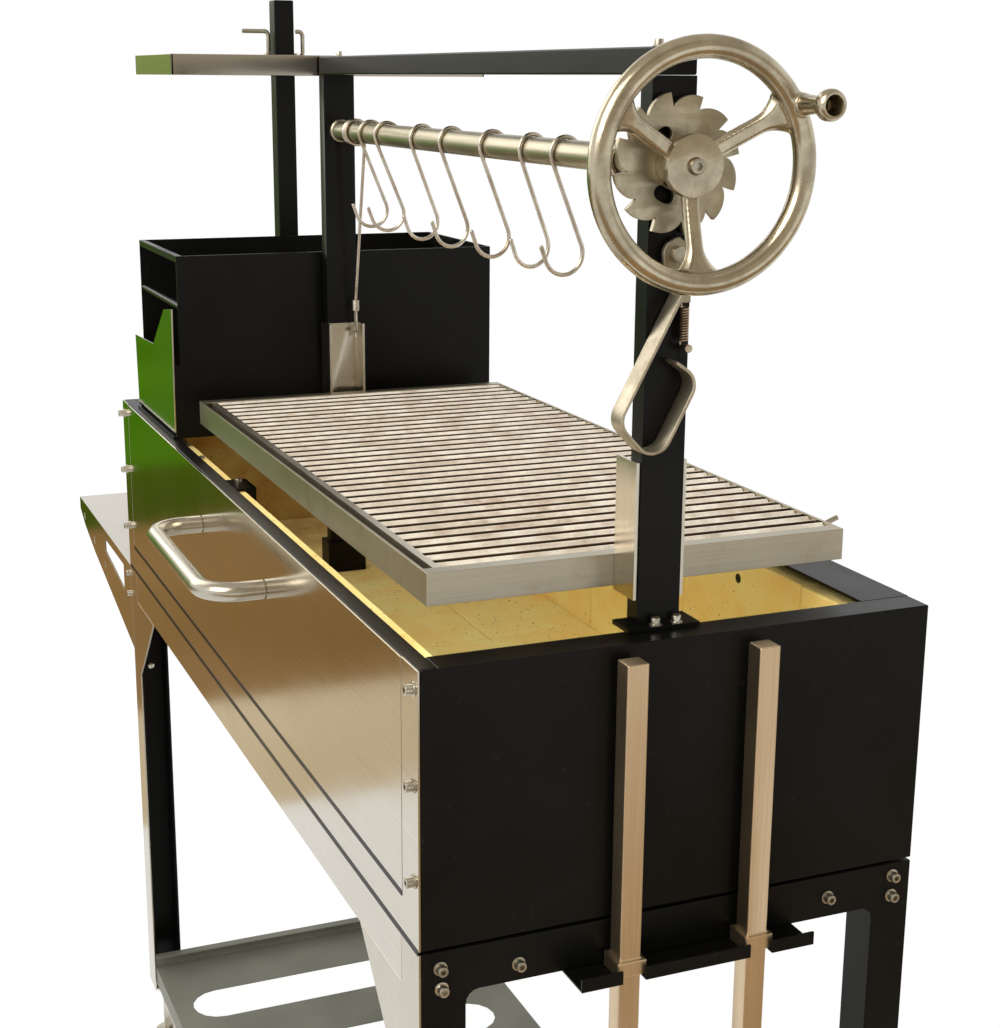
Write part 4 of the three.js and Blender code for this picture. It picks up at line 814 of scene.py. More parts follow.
# Rows of (X, radius): up the boss, round the hub's disc and into the cap screw's seat.
HUB_PROFILE = [
    (BOSS_BACK, SHAFT_BORE), (BOSS_BACK, BOSS_RADIUS), (HUB_BACK, BOSS_RADIUS), (HUB_BACK, HUB_RADIUS - 1),
    (HUB_BACK + 1, HUB_RADIUS), (HUB_FACE - 0.7, HUB_RADIUS), (HUB_FACE - 0.2, HUB_RADIUS - 0.2),
    (HUB_FACE, HUB_RADIUS - 0.7), (HUB_FACE, 7.2), (HUB_FACE - 0.8, 6.6), (HUB_FACE - 0.8, 4.6),
    (1.3, 4.6), (1.3, SHAFT_BORE),
]
shaft_centre = at(0, SHAFT_Y, SHAFT_Z)
crank_centre = at(0, SHAFT_Y + CRANK_RADIUS * math.cos(SPOKE_ANGLES[0]),
                  SHAFT_Z + CRANK_RADIUS * math.sin(SPOKE_ANGLES[0]))


def make_handwheel():
    """Rim, spokes, crank boss and pin in one skin, and the hub turned sharp after casting."""
    round_angle = np.linspace(0, 2 * np.pi, 40, endpoint=False)
    rim_profile = np.stack([
        WHEEL_PLANE + RIM_TUBE * np.cos(round_angle),
        WHEEL_RADIUS - RIM_TUBE + RIM_TUBE * np.sin(round_angle),
    ], axis=-1)
    boss = [(WHEEL_PLANE, CRANK_BOSS_RADIUS + 1.5), (CRANK_BOSS_END - 3, CRANK_BOSS_RADIUS),
            (CRANK_BOSS_END, CRANK_BOSS_RADIUS)]
    pin = [(WHEEL_PLANE, CRANK_PIN_RADIUS), (CRANK_PIN_END, CRANK_PIN_RADIUS)]
    parts = [
        turned(rim_profile, shaft_centre, X_AXIS, 160, closed=True),
        turned(boss, crank_centre, X_AXIS, 40),
        turned(pin, crank_centre, X_AXIS, 24),
    ]
    parts += [wheel_spoke(angle) for angle in SPOKE_ANGLES]
    wheel = gathered("handwheel_casting", parts)
    remesh = wheel.modifiers.new("one_skin", "REMESH")
    remesh.mode = "VOXEL"
    remesh.voxel_size = WHEEL_VOXEL * MM
    smooth = wheel.modifiers.new("fillets", "SMOOTH")
    smooth.iterations = WHEEL_SMOOTHING
    smooth.factor = 0.5
    settled = bpy.data.meshes.new_from_object(wheel.evaluated_get(bpy.context.evaluated_depsgraph_get()))
    wheel.modifiers.clear()
    wheel.data = settled
    hub = gathered("wheel_hub", [turned(HUB_PROFILE, shaft_centre, X_AXIS, 96, closed=True)])
    wheel = joined("handwheel_casting", [wheel, hub])
    return settle(wheel, "wheel", "winch", ("handwheel",))


handwheel = make_handwheel()
print("handwheel has", len(handwheel.data.polygons), "faces")

# %% [markdown]
# The ratchet wheel is cut from plate: twelve teeth with a straight face on one side and a round
# back on the other, and three kidney holes. A flat curve filled between its outline and its holes,
# raised by half the thickness each way and beveled, is just such a plate.

# %% The ratchet wheel
RATCHET_OUTER_X = -25
RATCHET_THICKNESS = 5
RATCHET_TIP = 56.5
RATCHET_ROOT = 45
RATCHET_TEETH = 12
RATCHET_FIRST_TIP = math.radians(7.8)
RATCHET_EDGE = 0.35
KIDNEY_RADIUS = 26.5
KIDNEY_HALF_WIDTH = 6
KIDNEY_HALF_ANGLE = math.radians(8)
KIDNEY_ANGLES = np.radians([4, 124, 244])
RATCHET_BORE = 12.8


def cut_plate(name, outlines, thickness, edge, frame_matrix):
    """A plate between an outline and its holes, all in millimetres, placed by a matrix."""
    curve = bpy.data.curves.new(name, "CURVE")
    curve.dimensions = "2D"
    curve.fill_mode = "BOTH"
    curve.extrude = (thickness / 2 - edge) * MM
    curve.bevel_depth = edge * MM
    curve.bevel_resolution = 2
    curve.offset = -edge * MM
    for outline in outlines:
        spline = curve.splines.new("POLY")
        spline.points.add(len(outline) - 1)
        flat = np.column_stack([MM * np.array(outline), np.zeros(len(outline)), np.ones(len(outline))])
        spline.points.foreach_set("co", flat.ravel())
        spline.use_cyclic_u = True
    drawn = linked(name + "_drawn", curve)
    mesh = bpy.data.meshes.new_from_object(drawn.evaluated_get(bpy.context.evaluated_depsgraph_get()))
    bpy.data.objects.remove(drawn)
    mesh.transform(frame_matrix)
    work = bmesh.new()
    work.from_mesh(mesh)
    bmesh.ops.remove_doubles(work, verts=work.verts, dist=WELD * MM / 4)
    bmesh.ops.recalc_face_normals(work, faces=work.faces)
    work.to_mesh(mesh)
    work.free()
    smooth_by_angle(mesh)
    return linked(name, mesh)


def polar(radius, angle):
    """Points from radii and angles, as rows of two numbers."""
    return np.stack([radius * np.cos(angle), radius * np.sin(angle)], axis=-1)


def ratchet_outline():
    """Each tooth's back is an arc of a cosine that leaves the tip level and drops ever faster."""
    share = np.linspace(0, 0.95, 14)
    back = np.cos(share / share[-1] * np.pi / 2).clip(0) ** 0.7
    tooth = np.arange(RATCHET_TEETH)[:, None]
    angle = RATCHET_FIRST_TIP + (tooth + share) / RATCHET_TEETH * 2 * np.pi
    radius = RATCHET_ROOT + (RATCHET_TIP - RATCHET_ROOT) * back + 0 * angle
    return polar(radius, angle).reshape(-1, 2)


def kidney(middle):
    """A curved slot: out along one arc about the hub and back along another, with round ends."""
    sweep = np.linspace(-1, 1, 12) * KIDNEY_HALF_ANGLE
    around = np.linspace(0, np.pi, 8)[1:-1]
    ends = []
    for way in (1, -1):
        end_angle = middle + way * KIDNEY_HALF_ANGLE
        centre = polar(KIDNEY_RADIUS, end_angle)
        ends.append(centre + polar(KIDNEY_HALF_WIDTH, end_angle + way * around))
    outer = polar(KIDNEY_RADIUS + KIDNEY_HALF_WIDTH, middle + sweep)
    inner = polar(KIDNEY_RADIUS - KIDNEY_HALF_WIDTH, middle - sweep)
    return np.concatenate([outer, ends[0], inner, ends[1][::-1]])


def upright_plane(x, y, z):
    """The matrix that stands a drawing up across the X axis: its u runs to the back, its v up."""
    turned_axes = Matrix(((0, 0, 1), (1, 0, 0), (0, 1, 0))).to_4x4()
    return Matrix.Translation(at(x, y, z)) @ turned_axes


ratchet = cut_plate(
    "ratchet_plate",
    [ratchet_outline(), polar(RATCHET_BORE, np.linspace(0, 2 * np.pi, 48, endpoint=False)),
     *[kidney(middle) for middle in KIDNEY_ANGLES]],
    RATCHET_THICKNESS, RATCHET_EDGE,
    upright_plane(RATCHET_OUTER_X - RATCHET_THICKNESS / 2, SHAFT_Y, SHAFT_Z),
)
settle(ratchet, "ratchet", "winch", ("ratchet_wheel",))
print("ratchet has", len(ratchet.data.polygons), "faces")

# %% [markdown]
# The other turned parts of the winch are the long shaft with its collar at the left post, the
# loose grip that spins on the crank, and the cap screw that holds the wheel on. Screws all over the
# grill are of this one kind, a socket head, so one function makes them in any place and direction.

# %% Shaft, grip and cap screws
RIGHT_POST_X = -54
LEFT_POST_X = -929
SHAFT_RADIUS = 12.5
# Rows of (X, radius): the left end in its post, the collar, the long tube, and the threaded hole.
SHAFT_PROFILE = [
    (LEFT_POST_X - 12, 7), (LEFT_POST_X - 12, 7.5), (LEFT_POST_X + 0.3, 7.5), (LEFT_POST_X + 0.3, 13.2),
    (LEFT_POST_X + 1.2, 14), (LEFT_POST_X + 8, 14), (LEFT_POST_X + 9, 13), (LEFT_POST_X + 9.2, SHAFT_RADIUS),
    (0.4, SHAFT_RADIUS), (1, 12), (1, 4.6), (-10.6, 4.6), (-10.7, 0.3),
]
# Rows of (X, radius): a waist, a round knob at the outer end, and back down the deep hollow in it.
GRIP_PROFILE = [
    (29.8, 4.5), (29.8, 7.4), (30.6, 8.0), (34, 7.8), (42, 7.2), (50, 7.0), (54, 7.6), (56, 8.8),
    (58.5, 11.2), (60.5, 12.2), (63, 12.5), (66, 12.4), (68.6, 11.4), (69.9, 9.6), (69.6, 8.2),
    (68, 7.4), (50, 5.8), (44, 4.5),
]
SCREW_SIDES = 36
SOCKET_SHARE = 0.52
SOCKET_DEPTH = 0.55
RIM_SHARE = 0.16
CAP_RADIUS, CAP_HEIGHT = 6.4, 5.6
CAP_SHANK = 4


def screw_head(place, axis, radius=5.0, height=6.0):
    """A socket head: straight side, small round at the top edge, hexagon hole going down inside.
    The hexagon's radius is the distance to its flat divided by the cosine of the angle from it."""
    hole, rim = radius * SOCKET_SHARE, radius * RIM_SHARE
    floor = height * (1 - SOCKET_DEPTH)
    angle = np.linspace(0, 2 * np.pi, SCREW_SIDES, endpoint=False)
    hexagon = hole * 0.92 / np.cos(angle % (np.pi / 3) - np.pi / 6)
    rows = [(-0.5, radius), (height - rim, radius), (height - rim * 0.3, radius - rim * 0.3),
            (height, radius - rim), (height, hole * 1.12), (height - 0.02, hexagon),
            (floor, hexagon), (floor, hexagon * 0.02)]
    axis = unit(axis)
    around = circle_about(axis, SCREW_SIDES)
    circles = [along * axis + (np.zeros(SCREW_SIDES) + far)[:, None] * around for along, far in rows]
    return shell(place + MM * np.array(circles))


settle(gathered("lifting_shaft", [turned(SHAFT_PROFILE, shaft_centre, X_AXIS, 64)]),
       "shaft", "winch", ("winch_shaft",))
settle(gathered("spinning_grip", [turned(GRIP_PROFILE, crank_centre, X_AXIS, 48, closed=True)]),
       "wheel", "crank", ("crank_grip",))
hub_head = gathered("wheel_cap_screw", [
    screw_head(at(HUB_FACE - 0.7, SHAFT_Y, SHAFT_Z), X_AXIS, CAP_RADIUS, CAP_HEIGHT),
    turned([(-10, CAP_SHANK), (HUB_FACE + 0.6, CAP_SHANK)], shaft_centre, X_AXIS, 24),
])
settle(hub_head, "zinc", "winch", ("hub_screw",))
print("shaft, grip and cap screw made")

# %% [markdown]
# The door's handle is a 20 mm tube with two bends. Each foot stands off the door by a thin dark
# seam, on a spigot that is welded behind, and the mirror of the door repeats the whole bow.

# %% The door handle
HANDLE_RIGHT_X = -476
HANDLE_LEFT_X = -766
HANDLE_Z = -66
HANDLE_REACH = 61
HANDLE_RADIUS = 10.4
HANDLE_BEND = 38
HANDLE_SEAM = 0.9
HANDLE_SPIGOT_RADIUS = 8.5


def make_handle():
    """A tube swept round two bends, on two spigots that are a little thinner."""
    corners = at([(HANDLE_RIGHT_X, -HANDLE_SEAM, HANDLE_Z), (HANDLE_RIGHT_X, -HANDLE_REACH, HANDLE_Z),
                  (HANDLE_LEFT_X, -HANDLE_REACH, HANDLE_Z), (HANDLE_LEFT_X, -HANDLE_SEAM, HANDLE_Z)])
    bow = shell(carried(rounded(corners, HANDLE_BEND, 18), ring(HANDLE_RADIUS, 40), Z_AXIS))
    parts = [bow]
    spigot = [(0, HANDLE_SPIGOT_RADIUS), (2 * HANDLE_SEAM, HANDLE_SPIGOT_RADIUS)]
    for x in (HANDLE_RIGHT_X, HANDLE_LEFT_X):
        parts.append(turned(spigot, at(x, 0, HANDLE_Z), -Y_AXIS))
    return settle(gathered("door_pull", parts), "tube", "door", ("door_handle",))


make_handle()

# %% [markdown]
# An S-hook is one length of wire bent in a plane: a small loop over the shaft, a straight shank
# that crosses under it, and a wide loop with a straight tip that carries the food. Both loops are
# arcs whose ends meet the shank where it touches both circles on opposite sides, which a little
# trigonometry gives. Each hook is turned a few degrees about the upright, as they hang by chance.

# %% The S-hooks
HOOK_PLACES = (-240, -315, -415, -530, -622, -742, -802)
HOOK_YAWS = (2, 9, 5, 6, 7, -9, -4)
HOOK_WIRE = 2.05
HOOK_LOOP = 14.8
HOOK_LOWER_Y, HOOK_LOWER_Z = 0, -91
HOOK_LOWER_LOOP = 19.5
HOOK_UPPER_TIP = math.radians(6)
HOOK_LOWER_TIP = math.radians(-160)
HOOK_TIP_LENGTH = 14


def hook_path():
    """The hook's centre line about the shaft, as rows of (across, up) in millimetres."""
    reach = math.hypot(HOOK_LOWER_Y, HOOK_LOWER_Z)
    line = math.atan2(HOOK_LOWER_Z, HOOK_LOWER_Y)
    shank = line + math.asin((HOOK_LOOP + HOOK_LOWER_LOOP) / reach)
    upper = np.linspace(HOOK_UPPER_TIP, shank - np.pi / 2 + 2 * np.pi, 44)
    lower = np.linspace(shank + np.pi / 2, HOOK_LOWER_TIP, 44)
    wide_loop = polar(HOOK_LOWER_LOOP, lower) + np.array([HOOK_LOWER_Y, HOOK_LOWER_Z])
    onward = np.array([math.sin(HOOK_LOWER_TIP), -math.cos(HOOK_LOWER_TIP)])
    tip = wide_loop[-1] + HOOK_TIP_LENGTH * onward
    return np.concatenate([polar(HOOK_LOOP, upper), wide_loop, tip[None]])


hook_across, hook_up = hook_path().T
for number, (x, yaw) in enumerate(zip(HOOK_PLACES, np.radians(HOOK_YAWS)), start=1):
    path = at(np.stack([x - hook_across * math.sin(yaw), SHAFT_Y + hook_across * math.cos(yaw),
                        SHAFT_Z + hook_up], axis=-1))
    side = np.array([math.cos(yaw), math.sin(yaw), 0])
    hook = gathered(f"meat_hook_{number}", [wire(dense(path, 2.0), HOOK_WIRE, side, 16)])
    settle(hook, "wire", f"hook_{number}", (f"s_hook_{number}",))
print("handle and", len(HOOK_PLACES), "hooks made")

# %% [markdown]
# The pawl hangs on a bolt below the ratchet. It is cut from plate, and a flat bar is welded to it
# and bent into a loop that a finger pulls. A small tension spring draws it back.

# %% The pawl lever and its spring
PAWL_Y, PAWL_Z = 234, 319
PAWL_EYE = 12
PAWL_BORE = 4.4
LEVER_X = -22
LEVER_WIDTH = 20
LEVER_THICKNESS = 3
LEVER_CORNER = 0.8
LEVER_BEND = 15.5
LEVER_CORNERS = [(236, 291), (179, 184), (205, 156), (222, 160), (252, 217), (230, 232)]
SPRING_Y = 244
SPRING_BOTTOM, SPRING_TOP = 244.4, 278.6
SPRING_WIRE = 0.85
SPRING_COIL = 3.3
SPRING_CURLS = 13
SPRING_NECK = 3.2
SPRING_END = 1.6
SPRING_X = RATCHET_OUTER_X - RATCHET_THICKNESS / 2


def pawl_outline():
    """The plate's edge: round the eye, up to the nose on one side and down the tail on the other."""
    eye = polar(PAWL_EYE, np.radians([200, 180, 160, 140, 125]))
    nose = np.array([(-7.0, 9.6), (-1.5, 12.6), (2.0, 13.3), (6.0, 10.4)])
    rear = polar(PAWL_EYE, np.radians([50, 30, 10, -10, -25]))
    tail = np.array([(13.4, -16), (14, -30), (14, -40), (6, -40), (-6, -30), (-10, -14)])
    return np.concatenate([eye, nose, rear, tail])[::-1]


def make_pawl():
    """The plate and the bent bar in one piece."""
    plate = cut_plate(
        "pawl_plate", [pawl_outline(), polar(PAWL_BORE, np.linspace(0, 2 * np.pi, 32, endpoint=False))],
        RATCHET_THICKNESS, RATCHET_EDGE, upright_plane(SPRING_X, PAWL_Y, PAWL_Z))
    corners = at([(LEVER_X, y, z) for y, z in LEVER_CORNERS])
    path = dense(rounded(corners, LEVER_BEND, 14), 1.5)
    section = flat_bar(LEVER_WIDTH, LEVER_THICKNESS, LEVER_CORNER)
    bar = gathered("pawl_bar", [shell(carried(path, section, X_AXIS))])
    pawl = joined("pawl_and_trigger", [plate, bar])
    return settle(pawl, "lever", "pawl", ("pawl_lever",))


def make_spring():
    """A helix with a short straight end at top and bottom."""
    turns = np.linspace(0, SPRING_CURLS * 2 * np.pi, SPRING_CURLS * 20)
    share = turns / turns[-1]
    coil = np.stack([
        SPRING_X + SPRING_COIL * np.sin(turns), SPRING_Y - SPRING_COIL * np.cos(turns),
        SPRING_BOTTOM + SPRING_NECK + share * (SPRING_TOP - SPRING_BOTTOM - 2 * SPRING_NECK),
    ], axis=-1)
    lower, upper = ([[SPRING_X, SPRING_Y - SPRING_COIL, z] for z in pair]
                    for pair in ((SPRING_BOTTOM, SPRING_BOTTOM + SPRING_END),
                                 (SPRING_TOP - SPRING_END, SPRING_TOP)))
    path = at(np.concatenate([lower, coil, upper]))
    spring = gathered("return_spring", [shell(carried(path, ring(SPRING_WIRE, 10), X_AXIS + 0.3 * Z_AXIS))])
    settle(spring, "spring", "cart", ("pawl_spring",))
    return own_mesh(spring)


make_pawl()
make_spring()
print("pawl and spring made")

# %% [markdown]
# The lifting ropes are 4 mm stainless wire rope, laid from six strands. A section whose radius
# swells six times round, and turns a little from each station to the next, gives the strands their
# real twist. Each rope comes off its winding on the shaft and goes down to a crimped sleeve.

# %% The lifting ropes and their windings
ROPE_RADIUS = 2.0
ROPE_STRANDS = 6
ROPE_LAY = 26
ROPE_DEPTH = 0.16
WINDING_RADIUS = 14.8
WINDING_PITCH = 5
WINDING_TURNS = 3
WINDING_DROP_X = -114
ROPE_FOOT = (-71, 245, 176.3)
ROPE_STUBS = (1.5, 4)
ROPE_STATION = 1.6
MIDDLE_X = (RIGHT_POST_X + LEFT_POST_X) / 2


def rope(path, side):
    """Strands: the radius falls as the size of the cosine of three times the turned angle falls,
    which happens six times round."""
    path = dense(path, ROPE_STATION)
    along = np.arange(len(path))[:, None] * ROPE_STATION
    angle = np.linspace(0, 2 * np.pi, 36, endpoint=False)[None, :]
    lobe = np.abs(np.cos(ROPE_STRANDS / 2 * (angle - 2 * np.pi * along / ROPE_LAY)))
    radius = MM * ROPE_RADIUS * (1 - ROPE_DEPTH * (1 - lobe ** 0.7))
    section = np.stack([radius * np.cos(angle), radius * np.sin(angle)], axis=-1)
    return shell(carried(path, section, side))


def mirrored_x(path):
    """The same path on the other side of the middle between the posts."""
    other = path.copy()
    other[:, 0] = 2 * at(MIDDLE_X, 0, 0)[0] - other[:, 0]
    return other


# Where the rope leaves the shaft, and its direction from there.
ROPE_LEAVES = np.array([WINDING_DROP_X, SHAFT_Y + WINDING_RADIUS, SHAFT_Z])
ROPE_WAY = unit(np.array(ROPE_FOOT) - ROPE_LEAVES)


def winding_path():
    """Three turns about the shaft that end in a short straight run down towards the grate."""
    angle = np.linspace(WINDING_TURNS * 2 * np.pi, 0, WINDING_TURNS * 40)
    coil = np.stack([
        WINDING_DROP_X - WINDING_PITCH * angle / (2 * np.pi),
        SHAFT_Y + WINDING_RADIUS * np.cos(angle), SHAFT_Z + WINDING_RADIUS * np.sin(angle),
    ], axis=-1)
    tail = coil[:1] + np.array([[0, 0, 2 * ROPE_RADIUS]])
    run = [ROPE_LEAVES + ROPE_WAY * reach for reach in ROPE_STUBS]
    return at(np.concatenate([tail, coil, run]))


def hanging_path():
    """The straight stretch from the winding to the sleeve on the guide."""
    return at(np.stack([ROPE_LEAVES + ROPE_WAY * (ROPE_STUBS[-1] + 0.1), ROPE_FOOT]))


for which in ("right", "left"):
    paths = [winding_path(), hanging_path()]
    if which == "left":
        paths = [mirrored_x(path) for path in paths]
    winding = gathered(f"{which}_rope_winding", [rope(paths[0], X_AXIS)])
    settle(winding, "wire", "winch", (f"{which}_winding",))
    hanging = gathered(f"{which}_lifting_rope", [rope(paths[1], X_AXIS)])
    settle(hanging, "wire", "cart", (f"{which}_cable",))
    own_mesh(hanging)

# %% [markdown]
# Each rope ends in an aluminium sleeve crimped round a small eye, and the eye hangs on a bolt in
# the guide. The guide itself is a folded channel. Its sleeve and eye are part of the CAD node, so
# only the press marks of the crimping tool and the bolt are added here.

# %% Crimp marks and eye bolts on the guides
FERRULE_BOTTOM, FERRULE_TOP = 162, 176
FERRULE_RADIUS = 4.5
CRIMP_PITCH = 3.4
EYE_BOLT_Z = 137
EYE_BOLT_FORWARD = 1.5
GUIDE_BOLT_OUT = 20.2
GUIDE_BOLT_Y, GUIDE_BOLT_Z = 209, 36


def crimp(x):
    """A sleeve pressed in three places: rings that bulge between the marks."""
    bulge, mark = FERRULE_RADIUS + 0.25, FERRULE_RADIUS + 0.02
    length = FERRULE_TOP - FERRULE_BOTTOM
    profile = [(0, 3.6), (0.4, FERRULE_RADIUS + 0.1)]
    for low in 0.8 + CRIMP_PITCH * np.arange(4):
        profile += [(low, bulge), (low + 2.0, bulge), (low + 2.5, mark)]
    profile += [(length - 0.3, mark), (length, 3.4)]
    return turned(profile, at(x, ROPE_FOOT[1], FERRULE_BOTTOM), Z_AXIS, 32)


for which, x, post_x, way in (("right", ROPE_FOOT[0], RIGHT_POST_X, -1),
                              ("left", 2 * MIDDLE_X - ROPE_FOOT[0], LEFT_POST_X, 1)):
    eye_bolt = at(x, ROPE_FOOT[1] - EYE_BOLT_FORWARD, EYE_BOLT_Z)
    guide_bolt = at(post_x + way * GUIDE_BOLT_OUT, GUIDE_BOLT_Y, GUIDE_BOLT_Z)
    fittings = [crimp(x), screw_head(eye_bolt, -Y_AXIS, 3.2, 2.6),
                screw_head(guide_bolt, way * X_AXIS, 3.4, 2.4)]
    settle(gathered(f"{which}_rope_end", fittings), "zinc", "grate")
print("crimps and guide bolts made")

# %% [markdown]
# The firebox is lined with slabs of firebrick stood on edge, and its floor is laid with the same.
# The joints between them show as fine dark lines, and no two bricks are quite as high. Each course
# is cut from its CAD solid at the brick length, with a joint's width left open. A wall is one row
# of bricks, so the width of its row is a number larger than any wall is thick.

# %% The firebrick lining
BRICK_LENGTH = 230
BRICK_JOINT = 1.3
BRICK_SEAM_PLACE = (-129, 50, 0)
BRICK_SLIVER = 0.15
BRICK_UNEVEN = 0.7
FLOOR_BRICK_DEPTH = 133
ONE_ROW = 400
BRICK_EDGE = 2.2
BRICK_SEED = 7
brick_chance = np.random.default_rng(BRICK_SEED)


def brick_spans(low, high, length, seam):
    """Cuts from low to high at every length from a seam, leaving out slivers at the ends."""
    cuts = seam + length * np.arange(math.ceil((low - seam) / length), math.ceil((high - seam) / length))
    least = BRICK_SLIVER * length
    cuts = [cut for cut in cuts if low + least < cut < high - least]
    edges = [low, *cuts, high]
    return list(zip(edges, edges[1:]))


def brick_course(node, lengthwise, width):
    """Blocks along the course, each a hair lower or higher than the next, with worn edges."""
    low, high = (np.array(corner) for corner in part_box(node))
    across = 1 - lengthwise
    seam = at(BRICK_SEAM_PLACE)[lengthwise]
    parts = []
    for start, end in brick_spans(low[lengthwise], high[lengthwise], BRICK_LENGTH * MM, seam):
        for near, far in brick_spans(low[across], high[across], width * MM, low[across]):
            a, b = low.copy(), high.copy()
            a[lengthwise], b[lengthwise] = start, end - BRICK_JOINT * MM
            a[across], b[across] = near, far - (BRICK_JOINT * MM if far < high[across] else 0)
            b[2] -= brick_chance.uniform(0, BRICK_UNEVEN) * MM
            parts.append(block(a, b))
    course = gathered(node + "_bricks", parts)
    ease_edges(course, BRICK_EDGE)
    return settle(course, "brick", "cart", (node,))


for wall, lengthwise in (("rear", 0), ("front", 0), ("right", 1), ("left", 1)):
    brick_course(wall + "_lining", lengthwise, ONE_ROW)
brick_course("floor_lining", 0, FLOOR_BRICK_DEPTH)
print("lining made of bricks")

# %% [markdown]
# The warming rack is a frame of flat bar with thirteen round rods through it, welded to a sleeve
# that slides on the third post. A bent rod over the sleeve is the catch that holds its height.

# %% The warming rack and its catch
RACK_BAR_RADIUS = 4
RACK_BAR_DROP = 10
RACK_BARS = 13
RACK_WALL = 3
POST_X, POST_Y = -1227, 242
RACK_RIGHT_X, RACK_LEFT_X = -953, -1180
RACK_FRONT_Y, RACK_REAR_Y = 25, 440
RACK_BOTTOM, RACK_TOP = 457.5, 482.5
SLEEVE_INNER = 14.4
SLEEVE_WALL = 3
RACK_ARM = 12
COLLAR_REACH, COLLAR_SPREAD = 15, 14
CATCH_RADIUS = 3
CATCH_BEND = 5.8
CATCH_SIDE = np.array([0.37, 0.11, 0.92])
CATCH_LOW, CATCH_HIGH = RACK_TOP + 0.3 + CATCH_RADIUS, 518
CATCH_CORNERS = [
    (POST_X, 185, CATCH_HIGH), (POST_X, 222, CATCH_HIGH), (POST_X, 222, CATCH_LOW),
    (-1250, 222, CATCH_LOW), (-1250, 272, CATCH_LOW), (POST_X, 272, CATCH_LOW),
    (POST_X, 272, CATCH_HIGH), (POST_X, 262, CATCH_HIGH),
]


def make_warming_rack():
    """Frame, arm, sleeve and collar of flat bar, and turned rods between the frame's long sides."""
    inner, outer = SLEEVE_INNER, SLEEVE_INNER + SLEEVE_WALL
    reach, spread = outer + COLLAR_REACH, outer + COLLAR_SPREAD
    high, lid = (RACK_BOTTOM, RACK_TOP), (RACK_TOP - RACK_WALL, RACK_TOP)
    whole_x, whole_y = (RACK_LEFT_X, RACK_RIGHT_X), (RACK_FRONT_Y, RACK_REAR_Y)
    slabs = [
        ((RACK_LEFT_X, RACK_LEFT_X + RACK_WALL), whole_y, high),
        ((RACK_RIGHT_X - RACK_WALL, RACK_RIGHT_X), whole_y, high),
        (whole_x, (RACK_FRONT_Y, RACK_FRONT_Y + RACK_WALL), high),
        (whole_x, (RACK_REAR_Y - RACK_WALL, RACK_REAR_Y), high),
        ((POST_X + inner, RACK_LEFT_X + 1), (POST_Y - RACK_ARM / 2, POST_Y + RACK_ARM / 2), high),
        ((POST_X - outer, POST_X - inner), (POST_Y - outer, POST_Y + outer), high),
        ((POST_X + inner, POST_X + outer), (POST_Y - outer, POST_Y + outer), high),
        ((POST_X - outer, POST_X + outer), (POST_Y - outer, POST_Y - inner), high),
        ((POST_X - outer, POST_X + outer), (POST_Y + inner, POST_Y + outer), high),
        ((POST_X - reach, POST_X - inner), (POST_Y - spread, POST_Y + spread), lid),
        ((POST_X + inner, POST_X + outer + 3), (POST_Y - spread, POST_Y + spread), lid),
        ((POST_X - inner, POST_X + inner), (POST_Y - spread, POST_Y - inner), lid),
        ((POST_X - inner, POST_X + inner), (POST_Y + inner, POST_Y + spread), lid),
    ]
    frame_piece = gathered("warming_rack_frame", [millimetre_block(*slab) for slab in slabs])
    ease_edges(frame_piece, 0.6)
    settle(frame_piece, "sheet_x", "warming_rack", ("upper_rack",))
    pitch = (RACK_REAR_Y - RACK_FRONT_Y) / (RACK_BARS + 1)
    length = RACK_RIGHT_X - RACK_LEFT_X - RACK_WALL
    rod = [(0, RACK_BAR_RADIUS), (length, RACK_BAR_RADIUS)]
    starts = [at(RACK_LEFT_X + RACK_WALL / 2, RACK_FRONT_Y + k * pitch, RACK_TOP - RACK_BAR_DROP)
              for k in range(1, RACK_BARS + 1)]
    rods = [turned(rod, start, X_AXIS, 20) for start in starts]
    settle(gathered("warming_rack_rods", rods), "tube", "warming_rack")


def make_catch():
    """A wire that comes down in front of the post, goes round its left side on the collar and up
    again behind it, with both tips level. Its section keeps to a side direction that none of its
    straight runs has."""
    path = rounded(at(CATCH_CORNERS), CATCH_BEND, 8)
    along = unit(np.gradient(path, axis=0))
    helper = unit(CATCH_SIDE - (along @ CATCH_SIDE)[:, None] * along)
    catch = shell(carried(path, ring(CATCH_RADIUS, 20), helper))
    settle(gathered("rack_catch", [catch]), "tube", "warming_rack", ("catch_rod",))


make_warming_rack()
make_catch()
print("warming rack and its catch made")

# %% [markdown]
# Small things that show close up: a dark crust on the outer flanks of the grate's bars, which is
# painted shade for the shadow between the bars, a strip that closes the bars' front ends above the
# gutter, black strips flush in the two long seams of the front, which paint the shadow in those
# gaps together with the black wall behind them, a black hook inside the firebox that the ember
# basket's front edge rests on, a black disc that paints the shade of a hole drilled through the
# rear lining, and the screws of the side shelf.

# %% Painted shade on the bars, strip, seam strips, hook, hole disc and shelf screws
BAR_WIDTH, BAR_DEPTH, BAR_WALL = 16, 9, 2
BAR_COUNT = 33
SHADE_PROUD = 0.12
SHADE_BELOW_TOP = 0.9
STRIP_THICKNESS = 7
# Seam strips: painted shade in the two long seams of the front, over the black wall behind.
SEAM_STRIP_PROUD = 0.25
SEAM_STRIP_DEPTH = 1.2
DOOR_SEAM_X, DOOR_SEAM_Z = (-1219, -41), (-213.8, -208.6)
CART_SEAM_X, CART_SEAM_Z = (-1258, -2), (-250.4, -244.8)
BASKET_REST = [
    ((-742, -692), (19, 50), (-11.8, -8.8)),
    ((-742, -692), (47, 50), (-46, -8.8)),
    ((-815, -742), (44, 50), (-30, -24)),
]
SMALL_BOLTS = [((-728, 38, -8.9), 4.2, 4.0), ((-884, 30, -12.2), 3.4, 3.4)]
LINING_HOLE = (-245, 436, -37)
SHELF_SCREW_X = -1276
SHELF_SCREW_HEIGHTS = (-266, -298)
bars_low, bars_high = (np.array(corner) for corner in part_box("grate_bars"))
